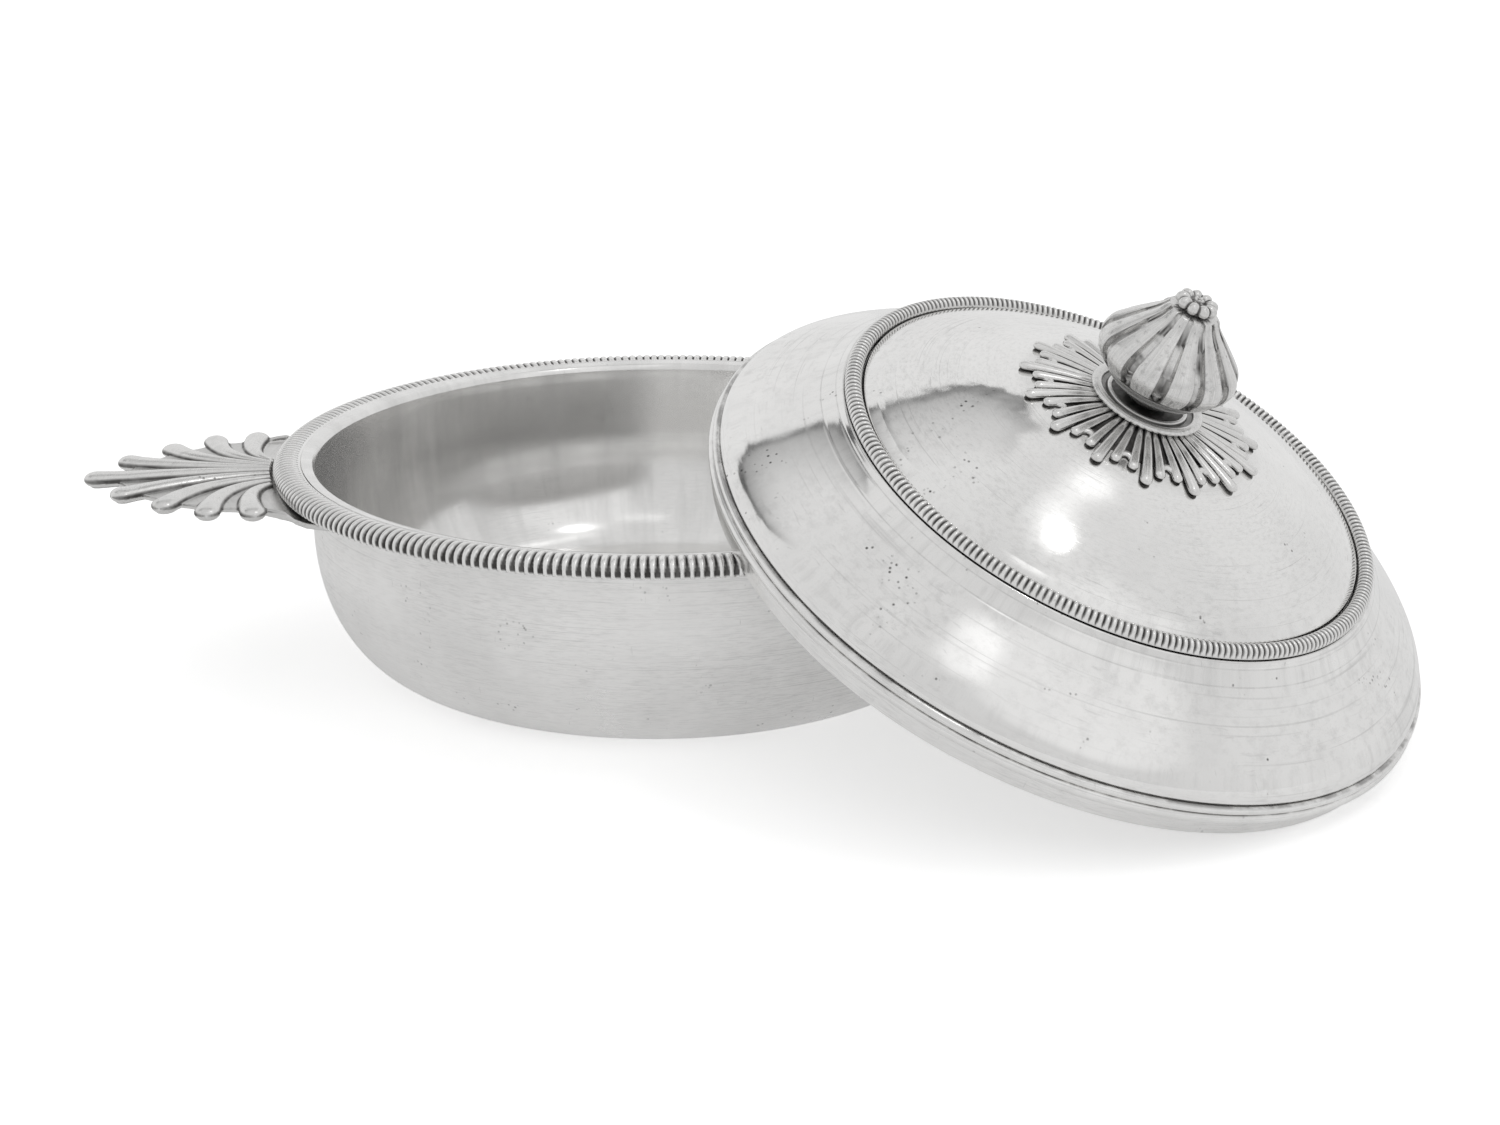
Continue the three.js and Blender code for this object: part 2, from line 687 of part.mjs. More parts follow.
function finialWasher() {
  const foot = washerTop - washerThick;
  const rim = washerRadius;
  return lathe([[hole, foot], [rim, foot], [rim, washerTop], [hole, washerTop]], smallSteps);
}

// Six-sided outside, round hole.
function finialNut() {
  const foot = nutTop - nutHeight;
  const half = Math.PI / nutSides;
  return revolve(smallSteps, (i) => {
    const turn = (i / smallSteps) * 2 * Math.PI;
    const outer = nutAcross / 2 / Math.cos((turn + half) % (2 * half) - half);
    return [[hole, foot], [outer, foot], [outer, nutTop], [hole, nutTop]];
  });
}

const polished = silver(0xd8d8d6, 0.22);
const worn = silver(0xc6c6c4, 0.35);
const cast = silver(0xb8b8b6, 0.4);
const dark = silver(0x9a9a98, 0.5);

const leftHandle = part('handle_left', handle(0), cast);
leftHandle.rotation.z = Math.PI;

const bowl = new THREE.Group();
bowl.add(
  part('bowl_shell', bowlShell(), polished),
  part('rim_gadroon', rimMoulding(), worn),
  leftHandle,
  part('handle_right', handle(farHandleDroop), cast),
);

const lid = new THREE.Group();
lid.add(
  part('lid_shell', lidShell(), polished),
  part('lid_bezel', lidBezel(), polished),
  part('lid_rim_moulding', lidRimMoulding(), worn),
  part('lid_gadroon', lidBandRing(), worn),
  part('leaf_rosette', leafRosette(), dark),
  part('finial_collar', finialCollar(), worn),
  part('finial_bud', finialBud(), cast),
  part('finial_flower', finialFlower(), dark),
  part('finial_stud', finialStud(), dark),
  part('finial_washer', finialWasher(), worn),
  part('finial_nut', finialNut(), dark),
);
lid.applyMatrix4(lidPlace());

const ecuelle = new THREE.Group();
ecuelle.add(bowl, lid);

export default ecuelle;
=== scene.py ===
# Silver ecuelle with its lid off and leaning on the bowl: the finished pieces, modelled round their frame.
# Everything is in metres. X runs through both handles and the bowl stands on the table at the origin.
import json
import math

import bpy
from mathutils import Matrix, Vector
from mathutils.kdtree import KDTree


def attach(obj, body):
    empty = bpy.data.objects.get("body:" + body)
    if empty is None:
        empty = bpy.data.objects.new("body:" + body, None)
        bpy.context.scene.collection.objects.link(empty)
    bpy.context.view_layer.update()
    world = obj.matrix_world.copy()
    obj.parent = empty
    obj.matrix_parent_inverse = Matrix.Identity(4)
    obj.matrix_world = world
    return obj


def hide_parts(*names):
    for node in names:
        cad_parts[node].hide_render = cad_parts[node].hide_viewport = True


bl_info = {
    "name": "Silver ecuelle",
    "version": (1, 0, 0),
    "blender": (4, 5, 0),
    "location": "3D View > Sidebar > Ecuelle",
    "description": "Models a two-handled silver bowl and its leaning lid",
    "category": "Add Mesh",
}

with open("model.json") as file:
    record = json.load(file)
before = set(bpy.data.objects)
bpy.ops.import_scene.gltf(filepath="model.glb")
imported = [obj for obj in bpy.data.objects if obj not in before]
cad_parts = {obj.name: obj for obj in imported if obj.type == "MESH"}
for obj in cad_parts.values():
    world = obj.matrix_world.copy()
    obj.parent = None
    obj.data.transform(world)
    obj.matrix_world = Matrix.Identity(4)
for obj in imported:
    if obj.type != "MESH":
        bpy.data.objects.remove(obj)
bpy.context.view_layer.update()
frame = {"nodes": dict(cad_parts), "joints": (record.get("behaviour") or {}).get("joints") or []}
FULL_TURN = 2 * math.pi
MERGE = 2e-6         # corners closer than this become one
SHELL_STEPS = 256    # round the bowl, the lid and its edge
REED_COLUMNS = 6     # meridians to one reed
PETAL_COLUMNS = 20   # meridians to one petal
SOLDER_GAP = 0.0003  # between neighbouring pieces
STUD_HOLE = 0.0023   # radius of the hole for the finial's stud


def length(name, description, default):
    return bpy.props.FloatProperty(
        name=name, description=description, default=default, unit="LENGTH", precision=5)


def angle(name, description, default):
    return bpy.props.FloatProperty(name=name, description=description, default=default, subtype="ANGLE")


def count(name, description, default):
    return bpy.props.IntProperty(name=name, description=description, default=default, min=3)


def strength(name, description, default, unit="NONE"):
    return bpy.props.FloatProperty(name=name, description=description, default=default, unit=unit, min=0)


def colour(name, description, default):
    return bpy.props.FloatVectorProperty(
        name=name, description=description, default=default, size=3, subtype="COLOR", min=0, max=1)


class BowlSizes(bpy.types.PropertyGroup):
    """Sizes of the bowl and the moulding round its lip"""
    base: length("Base radius", "Flat underside on the table", 0.0657)
    wall: length("Wall radius", "Outside of the upright wall", 0.088)
    curve: length("Curve height", "Where the round bottom meets the upright wall", 0.0344)
    seam: length("Seam height", "Foot of the reeded moulding", 0.0482)
    sheet: length("Sheet thickness", "Of the raised wall", 0.0012)
    lip_inner: length("Lip inner radius", "Mouth of the bowl", 0.08766)
    lip_outer: length("Lip outer radius", "Where the lip meets the moulding", 0.0904)
    lip_rise: length("Lip rise", "Inner edge of the lip above the seam", 0.0038)
    lip_crown: length("Lip crown", "Outer edge of the lip above the seam", 0.0043)
    lip_under: length("Lip underside", "Where it meets the moulding, above the seam", 0.0027)
    mould: length("Moulding radius", "Middle of its oval section", 0.0934)
    mould_rise: length("Moulding rise", "Middle of the oval above the seam", 0.002)
    mould_wide: length("Moulding half width", "Of the oval", 0.0039)
    mould_high: length("Moulding half height", "Of the oval", 0.003)
    reeds: count("Reeds", "Round the moulding", 282)
    reed_depth: length("Reed depth", "Of the slots between the reeds", 0.00062)


class HandleSizes(bpy.types.PropertyGroup):
    """Sizes of the two palmette handles"""
    root: length("Root radius", "Where the palmette leaves the moulding", 0.0976)
    reach: length("Reach", "From the root to the tip", 0.0451)
    spread: length("Half width", "Across the outermost lobes", 0.0359)
    root_spread: length("Root half width", "Of the ribs where they meet the moulding", 0.0108)
    lobe: length("Lobe half width", "At its round end", 0.0034)
    rib: length("Rib half width", "At the root", 0.00095)
    plate: length("Plate thickness", "Of the webs", 0.0012)
    rise: length("Plate rise", "Underside above the seam", 0.0004)
    ridge: length("Lobe height", "Above the webs", 0.002)
    tip_lift: length("Tip lift", "Of the left handle", 0.0003)
    droop: angle("Droop", "Of the right handle under the lid", math.radians(6))
    wing_turn: angle("Wing turn", "How far the wing reaches each way", math.radians(26))
    wing_thick: length("Wing thickness", "Of the soldered wing", 0.0016)
    wing_wide: length("Wing width", "At its ends", 0.0048)


class LidSizes(bpy.types.PropertyGroup):
    """Sizes of the lid, up its own axis from the lower edge of its bezel"""
    bezel: length("Bezel radius", "Ring that fits the bowl's mouth", 0.0858)
    bezel_wall: length("Bezel wall", "Of that ring", 0.0011)
    bead_foot: length("Bead foot", "Lower edge of the twin beads", 0.0049)
    lower_bead: length("Lower bead radius", "Outside", 0.0884)
    lower_high: length("Lower bead height", "Of that bead", 0.0025)
    upper_bead: length("Upper bead radius", "Outside", 0.0881)
    upper_high: length("Upper bead height", "Of that bead", 0.0019)
    shoulder: length("Shoulder radius", "Where it leaves the beads", 0.0869)
    shoulder_foot: length("Shoulder foot", "Height where it leaves the beads", 0.0096)
    ledge: length("Ledge radius", "Outside of the ledge under the band", 0.0651)
    ledge_high: length("Ledge height", "Under the band", 0.0299)
    ledge_inner: length("Ledge inner radius", "Where the dome rises", 0.0606)
    dome_high: length("Dome height", "Top of the dome", 0.049)
    dome_round: length("Dome roundness", "Radius of its curve", 0.1055)
    step: length("Step radius", "Fine step round the dome", 0.0582)
    step_high: length("Step height", "Of that step", 0.0003)
    sheet: length("Sheet thickness", "Of the raised wall", 0.0012)
    band_inner: length("Band inner radius", "Of the reeded band", 0.0609)
    band_outer: length("Band outer radius", "Of the reeded band", 0.0646)
    band_high: length("Band height", "Of the reeded band", 0.0024)
    band_reeds: count("Band reeds", "Round the band", 272)
    band_depth: length("Band reed depth", "Of the slots", 0.00042)


class FinialSizes(bpy.types.PropertyGroup):
    """Sizes of the rosette and the finial"""
    groups: count("Finger groups", "Threes of leaf fingers", 15)
    turn: angle("Rosette turn", "Of the first middle finger", math.radians(4.1))
    tip: length("Middle finger reach", "Radius of its tip", 0.0292)
    side: length("Side finger reach", "Radius of its tip", 0.0262)
    arch: length("Arch radius", "Crown of the arches", 0.0222)
    collar: length("Collar radius", "Outside of its bead", 0.0134)
    collar_foot: length("Collar foot", "Height of its underside", 0.04915)
    collar_high: length("Collar height", "Of its bead", 0.0015)
    bud_foot: length("Bud foot", "Height of its underside", 0.05545)
    petals: count("Petals", "Round the bud", 12)
    flute: length("Flute depth", "Between the petals", 0.0009)
    flower_foot: length("Flower foot", "Height of its underside", 0.07435)
    flower_petals: count("Flower petals", "Round the cap", 9)


class SilverLook(bpy.types.PropertyGroup):
    """Colours of the silver"""
    bright: colour("Bright silver", "Clean metal", (0.93, 0.925, 0.915))
    worn: colour("Worn silver", "Handled metal", (0.84, 0.835, 0.825))
    # This dark colour also paints shade: where a piece marks shade it stands for painted shade, not only
    # tarnish.
    patina_and_shade: colour("Patina", "In the recesses", (0.045, 0.042, 0.04))


class StudioSettings(bpy.types.PropertyGroup):
    """Light and backdrop"""
    sky: strength("Sky strength", "Of the white surroundings", 0.74)
    key: strength("Key power", "Of the main soft light", 0.42, "POWER")
    floor: colour("Floor colour", "Pale table", (0.94, 0.94, 0.94))
    glow: strength("Floor glow", "Of the backlit table to the camera", 0.46)


# Helpers shared by all pieces


def leave_edit():
    if bpy.context.object and bpy.context.object.mode != "OBJECT":
        bpy.ops.object.mode_set(mode="OBJECT")
    bpy.ops.object.select_all(action="DESELECT")


def only(piece):
    leave_edit()
    bpy.context.view_layer.objects.active = piece
    piece.select_set(True)


def trace(name, places):
    """Draws a line as an artist would: one corner, extruded from place to place. It stays in edit mode."""
    leave_edit()
    bpy.ops.mesh.primitive_plane_add(size=0.001)
    piece = bpy.context.object
    piece.name = name
    bpy.ops.object.mode_set(mode="EDIT")
    bpy.ops.mesh.select_mode(type="VERT")
    bpy.ops.mesh.select_all(action="SELECT")
    bpy.ops.mesh.merge(type="CENTER")
    bpy.ops.transform.translate(value=places[0])
    for here, there in zip(places, places[1:]):
        bpy.ops.mesh.extrude_region_move(TRANSFORM_OT_translate={"value": there - here})
    bpy.ops.mesh.select_all(action="SELECT")
    return piece


def turned_piece(name, points, steps, closed=True):
    """Spins an outline of radius and height into a round form with its faces outwards."""
    ends = points[:1] if closed else []
    piece = trace(name, [Vector((r, 0, z)) for r, z in [*points, *ends]])
    bpy.ops.mesh.spin(steps=steps, angle=FULL_TURN, center=(0, 0, 0), axis=(0, 0, 1), use_auto_merge=True)
    bpy.ops.mesh.select_all(action="SELECT")
    bpy.ops.mesh.remove_doubles(threshold=MERGE)
    bpy.ops.mesh.normals_make_consistent(inside=False)
    leave_edit()
    return piece


def plate_from(name, outline, low, high):
    """A flat plate: its outline drawn corner by corner, filled and extruded up."""
    plate = trace(name, [Vector((corner.x, corner.y, low)) for corner in [*outline, outline[0]]])
    bpy.ops.mesh.remove_doubles(threshold=MERGE)
    bpy.ops.mesh.select_all(action="SELECT")
    bpy.ops.mesh.edge_face_add()
    bpy.ops.mesh.extrude_region_move(TRANSFORM_OT_translate={"value": (0, 0, high - low)})
    bpy.ops.mesh.select_all(action="SELECT")
    bpy.ops.mesh.normals_make_consistent(inside=False)
    leave_edit()
    return plate


def soften_edges(piece, width):
    only(piece)
    bevel = piece.modifiers.new("Soft edges", "BEVEL")
    bevel.width = width
    bevel.segments = 3
    bevel.limit_method = "ANGLE"
    bevel.angle_limit = math.radians(28)
    bevel.harden_normals = False
    bpy.ops.object.modifier_apply(modifier=bevel.name)


def smooth(piece, limit):
    only(piece)
    bpy.ops.object.shade_smooth_by_angle(angle=limit)
    leave_edit()


def radius_at(co):
    return math.hypot(co.x, co.y)


def heading_at(co):
    return math.atan2(co.y, co.x)


def from_line(co, lines):
    """Angle to the nearest of some evenly spaced meridians, the first at heading 0."""
    pitch = FULL_TURN / lines
    return abs((heading_at(co) + pitch / 2) % pitch - pitch / 2)


def bowed(start, bend, end, shares):
    """Points on a curve from start to end, drawn towards bend."""
    return [start * (1 - t) ** 2 + bend * (2 * t * (1 - t)) + end * t ** 2 for t in shares]


def arc(centre, wide, high, start, end, steps):
    """Points round an oval, from start to end in radians."""
    turns = [start + (end - start) * i / steps for i in range(steps + 1)]
    return [(centre[0] + wide * math.cos(t), centre[1] + high * math.sin(t)) for t in turns]


def flowing(points, per_span):
    """A smooth line through given points."""
    line = []
    last = len(points) - 1
    for i in range(last):
        spans = zip(points[max(i - 1, 0)], points[i], points[i + 1], points[min(i + 2, last)])
        rows = [(2 * q, r - p, 2 * p - 5 * q + 4 * r - s, 3 * q - p - 3 * r + s) for p, q, r, s in spans]
        for t in (k / per_span for k in range(per_span)):
            line.append(tuple(0.5 * (a + b * t + c * t * t + d * t ** 3) for a, b, c, d in rows))
    line.append(points[-1])
    return line


def inner_line(points, wall):
    """The same line moved in by the wall, to the left of its direction."""
    moved = []
    for i, (r, z) in enumerate(points):
        before = points[max(i - 1, 0)]
        after = points[min(i + 1, len(points) - 1)]
        along = Vector((after[0] - before[0], after[1] - before[1])).normalized()
        moved.append((r - along.y * wall, z + along.x * wall))
    return moved


def pick(piece, test):
    """Selects, in edit mode, the corners that pass a test of their place."""
    leave_edit()
    mesh = piece.data
    mesh.polygons.foreach_set("select", [False] * len(mesh.polygons))
    mesh.edges.foreach_set("select", [False] * len(mesh.edges))
    mesh.vertices.foreach_set("select", [bool(test(v.co)) for v in mesh.vertices])
    bpy.context.view_layer.objects.active = piece
    piece.select_set(True)
    bpy.ops.object.mode_set(mode="EDIT")


def press_reeds(piece, reeds, columns, depths, bands):
    """Presses the slots between reeds into a spun moulding.

    Every columns-th meridian is a slot; depths hold the pressing of each column from the slot to the crest,
    and bands hold pairs of a test of place and the share of the depth that applies there.
    """
    step = FULL_TURN / (reeds * columns)
    for column, depth in enumerate(depths):
        if depth == 0:
            continue
        for test, part in bands:
            def in_column(co):
                index = round((heading_at(co) % FULL_TURN) / step) % columns
                return min(index, columns - index) == column and test(co)
            pick(piece, in_column)
            bpy.ops.transform.shrink_fatten(value=-depth * part)
    leave_edit()


def mark_hollows(piece, test_share):
    """Paints a share of darkness on each corner: tarnish in the recesses, and painted shade where a piece's
    test marks shade.
    """
    layer = piece.data.color_attributes.new("Hollow", "FLOAT_COLOR", "POINT")
    values = []
    for v in piece.data.vertices:
        value = min(max(test_share(v.co), 0.0), 1.0)
        values.extend((value, value, value, 1.0))
    layer.data.foreach_set("color", values)


def lid_frame():
    """Where the lid lies, from its packed bezel and the way its joint runs."""
    axis = Vector(frame["joints"][0]["axis"]).normalized()
    corners = [v.co.copy() for v in frame["nodes"]["lid_bezel"].data.vertices]
    middle = sum(corners, Vector()) / len(corners)
    low = min((c - middle).dot(axis) for c in corners)
    side = Vector((0, 0, 1)).cross(axis).normalized()
    across = axis.cross(side)
    turn = Matrix((side, across, axis)).transposed().to_4x4()
    return Matrix.Translation(middle + axis * low) @ turn


def lay_on_lid(piece):
    """Moves an upright piece to its place on the leaning lid."""
    only(piece)
    piece.matrix_world = lid_frame()
    bpy.ops.object.transform_apply(location=True, rotation=True, scale=True)
    leave_edit()


def own_mesh_copy(piece, name):
    only(piece)
    bpy.ops.object.duplicate(linked=False)
    copy = bpy.context.object
    copy.name = name
    return copy


def turn_about(piece, turn):
    """Turns a whole piece about the upright axis, and keeps its place in its mesh."""
    only(piece)
    piece.matrix_world = Matrix.Rotation(turn, 4, "Z")
    bpy.ops.object.transform_apply(location=True, rotation=True, scale=True)
    leave_edit()


def repeated(piece, times):
    """The piece and its copies, evenly round the upright axis."""
    made = [piece]
    for i in range(1, times):
        copy = own_mesh_copy(piece, f"{piece.name} {i}")
        turn_about(copy, FULL_TURN * i / times)
        made.append(copy)
    return made


def ball(name, place, radius, stretch, segments, rings):
    """A small rounded lump that keeps its place in its mesh."""
    leave_edit()
    bpy.ops.mesh.primitive_uv_sphere_add(segments=segments, ring_count=rings, radius=radius, location=place)
    made = bpy.context.object
    made.name = name
    made.scale = stretch
    bpy.ops.object.transform_apply(location=True, rotation=True, scale=True)
    return made


def join_pieces(name, parts):
    leave_edit()
    for part in parts:
        part.select_set(True)
    bpy.context.view_layer.objects.active = parts[0]
    bpy.ops.object.join()
    whole = bpy.context.object
    whole.name = name
    leave_edit()
    return whole


def rod(name, points, radii, sides=4):
    """A round bar along close knots, thicker and thinner by its radii, with closed ends."""
    leave_edit()
    bpy.ops.curve.primitive_nurbs_path_add()
    bar = bpy.context.object
    bar.name = name
    bar.data.splines.clear()
    spline = bar.data.splines.new("POLY")
    spline.points.add(len(points) - 1)
    for knot, place, radius in zip(spline.points, points, radii):
        knot.co = (*place, 1)
        knot.radius = radius
    bar.data.dimensions = "3D"
    bar.data.bevel_depth = 1.0
    bar.data.bevel_resolution = sides
    bar.data.use_fill_caps = True
    bpy.ops.object.convert(target="MESH")
    return bpy.context.object


def cast_whole(piece, voxel, rounds):
    """Runs separate closed forms together as one casting and eases its corners."""
    only(piece)
    fuse = piece.modifiers.new("Cast", "REMESH")
    fuse.mode = "VOXEL"
    fuse.voxel_size = voxel
    bpy.ops.object.modifier_apply(modifier=fuse.name)
    ease = piece.modifiers.new("Ease", "SMOOTH")
    ease.factor = 0.5
    ease.iterations = rounds
    bpy.ops.object.modifier_apply(modifier=ease.name)
    bpy.ops.object.shade_smooth()
    leave_edit()


def spread_knots(points, radii, parts=6):
    """Places and radii along a bar, close together, to measure from."""
    knots = []
    ends = [(Vector(place), radius) for place, radius in zip(points, radii)]
    for (a, thick), (b, thicker) in zip(ends, ends[1:]):
        knots += [(a.lerp(b, k / parts), thick + (thicker - thick) * k / parts) for k in range(parts)]
    return [*knots, ends[-1]]


def tarnish_and_shade_between(piece, knots, flat, shade):
    """Darkens the corners beside a casting's bars, by the distance from their sides and the height on them:
    tarnish in the creases, and painted shade that the caller's shade test adds, such as dark lower sides.
    """
    tree = KDTree(len(knots))
    for i, (place, radius) in enumerate(knots):
        tree.insert((place.x, place.y, 0 if flat else place.z), i)
    tree.balance()

    def hollow(co):
        found = tree.find_n((co.x, co.y, 0 if flat else co.z), 4)
        gap, i = min((distance - knots[i][1], i) for place, i, distance in found)
        return shade(gap, (co.z - knots[i][0].z) / knots[i][1], co)

    mark_hollows(piece, hollow)


def finish_piece(piece, body, node, material, hollow=None, limit=math.radians(40)):
    """Smooths an upright piece, marks its hollows, lays it in place and says what it stands for."""
    if hollow:
        mark_hollows(piece, hollow)
    if limit:
        smooth(piece, limit)
    if body == "lid":
        lay_on_lid(piece)
    piece.data.materials.clear()
    piece.data.materials.append(finish(material))
    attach(piece, body)
    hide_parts(node)


# Materials


def node(tree, kind, **settings):
    made = tree.nodes.new(kind)
    for key, value in settings.items():
        setattr(made, key, value)
    return made


def feed(tree, made, inputs):
    """Gives each input of a node a value, or links it to another node's output."""
    for key, value in inputs.items():
        if isinstance(value, bpy.types.NodeSocket):
            tree.links.new(value, made.inputs[key])
        else:
            made.inputs[key].default_value = value


def fed(tree, kind, output, inputs, **settings):
    """One output of a new node."""
    made = node(tree, kind, **settings)
    feed(tree, made, inputs)
    return made.outputs[output]


def new_group(name, inputs, outputs):
    """A group with its two ends; its inputs are numbers with a value and vectors without one."""
    group = bpy.data.node_groups.new(name, "ShaderNodeTree")
    for label, value in inputs.items():
        kind = "NodeSocketVector" if value is None else "NodeSocketFloat"
        socket = group.interface.new_socket(label, in_out="INPUT", socket_type=kind)
        if value is not None:
            socket.default_value = value
    for label in outputs:
        group.interface.new_socket(label, in_out="OUTPUT", socket_type="NodeSocketFloat")
    return group, node(group, "NodeGroupInput").outputs, node(group, "NodeGroupOutput")


def noise(tree, vector, scale, detail, rough):
    inputs = {"Vector": vector, "Scale": scale, "Detail": detail, "Roughness": rough}
    return fed(tree, "ShaderNodeTexNoise", "Fac", inputs)


def remap(tree, value, low, high, to_low=0.0, to_high=1.0):
    inputs = {"Value": value, "From Min": low, "From Max": high, "To Min": to_low, "To Max": to_high}
    return fed(tree, "ShaderNodeMapRange", "Result", inputs)


def maths(tree, operation, first, *others):
    """One operation on a value, or on each of several in turn."""
    if not others:
        return fed(tree, "ShaderNodeMath", "Value", {0: first}, operation=operation)
    for other in others:
        first = fed(tree, "ShaderNodeMath", "Value", {0: first, 1: other}, operation=operation)
    return first


def vectors(tree, operation, output, *values):
    return fed(tree, "ShaderNodeVectorMath", output, dict(enumerate(values)), operation=operation)


def mixed_colour(tree, factor, first, second):
    colours = [(*c, 1.0) if isinstance(c, tuple) else c for c in (first, second)]
    return fed(tree, "ShaderNodeMix", 2, {0: factor, 6: colours[0], 7: colours[1]}, data_type="RGBA")


def scaled(tree, vector, factors):
    return fed(tree, "ShaderNodeMapping", "Vector", {"Vector": vector, "Scale": factors})


def split_up(tree, vector):
    split = node(tree, "ShaderNodeSeparateXYZ")
    tree.links.new(vector, split.inputs["Vector"])
    return [split.outputs[axis] for axis in "XYZ"]


def turned_place(tree, place):
    """Coordinates that run round the axis and across it, for the marks of turning and wiping."""
    x, y, z = split_up(tree, place)
    flat = fed(tree, "ShaderNodeCombineXYZ", "Vector", {"X": x, "Y": y})
    radius = vectors(tree, "LENGTH", "Value", flat)
    around_x, around_y, _ = split_up(tree, vectors(tree, "NORMALIZE", "Vector", flat))
    return fed(tree, "ShaderNodeCombineXYZ", "Vector", {
        "X": maths(tree, "MULTIPLY", around_x, 0.06),
        "Y": maths(tree, "MULTIPLY", around_y, 0.06),
        "Z": maths(tree, "ADD", radius, z)})


def wear_group():
    """Hairlines, pits, wipes and clouds of old polish, as masks and a height."""
    group, given, leave = new_group(
        "Old polish", {"Vector": None, "Hairline Share": 0.5, "Pit Share": 0.5, "Wipe Share": 0.0},
        ("Cloud", "Brushing", "Hairlines", "Pits", "Wipes", "Speckle", "Broken", "Height"))
    place, hair_share = given["Vector"], given["Hairline Share"]
    turned = turned_place(group, place)

    def marks(scale, detail, rough, low, high, to_low=0.0, along=place):
        """Noise between two of its levels; a scale of three numbers stretches the place instead."""
        if isinstance(scale, tuple):
            along, scale = scaled(group, along, scale), 1.0
        return remap(group, noise(group, along, scale, detail, rough), low, high, to_low)

    patchy = marks(34.0, 4.0, 0.6, 0.38, 0.6, 0.35)
    grain = noise(group, scaled(group, turned, (420, 420, 2100)), 1.0, 4.0, 0.72)
    long_lines = marks((22, 22, 5200), 2.0, 0.5, 0.62, 0.72, along=turned)
    short_lines = marks((150, 150, 4200), 3.0, 0.6, 0.62, 0.74, along=turned)
    lines = maths(group, "MULTIPLY", maths(group, "MAXIMUM", long_lines, short_lines), patchy)
    fine = maths(group, "MAXIMUM", lines, marks((1500, 260, 190), 3.0, 0.6, 0.68, 0.8))
    cells = fed(group, "ShaderNodeTexVoronoi", "Distance", {"Scale": 620.0, "Vector": place}, feature="F1")
    dots = remap(group, cells, 0.26, 0.1)
    pits = maths(group, "MULTIPLY", dots, marks(75.0, 6.0, 0.65, 0.585, 0.65), given["Pit Share"])
    across = vectors(group, "LENGTH", "Value", scaled(group, place, (1, 1, 0)))
    off_bottom = remap(group, across, 0.055, 0.082, 0.08, 1.0)
    wipes = marks((230, 230, 16), 4.0, 0.62, 0.4, 0.68, along=turned)
    streaks = marks((2400, 2400, 170), 4.0, 0.65, 0.52, 0.7, along=turned)
    speckle = marks(620.0, 6.0, 0.75, 0.52, 0.74)
    feed(group, leave, {
        "Cloud": noise(group, place, 26.0, 5.0, 0.62),
        "Brushing": maths(group, "MULTIPLY", remap(group, grain, 0.46, 0.72), patchy, hair_share),
        "Hairlines": maths(group, "MULTIPLY", fine, hair_share),
        "Pits": pits,
        "Wipes": maths(group, "MULTIPLY", wipes, off_bottom, given["Wipe Share"]),
        "Speckle": maths(group, "MAXIMUM", speckle, maths(group, "MULTIPLY", streaks, 0.8)),
        "Broken": marks(160.0, 4.0, 0.65, 0.4, 0.58),
        "Height": maths(group, "SUBTRACT", maths(group, "MULTIPLY", grain, hair_share), pits)})
    return group


# What the clean colour is multiplied by
DULL = 0.92
GREYED = 0.76
SCRATCHED = 0.62
ROUGHER = (("Hairlines", 0.08), ("Wipes", 0.1))  # what the marks add to the roughness


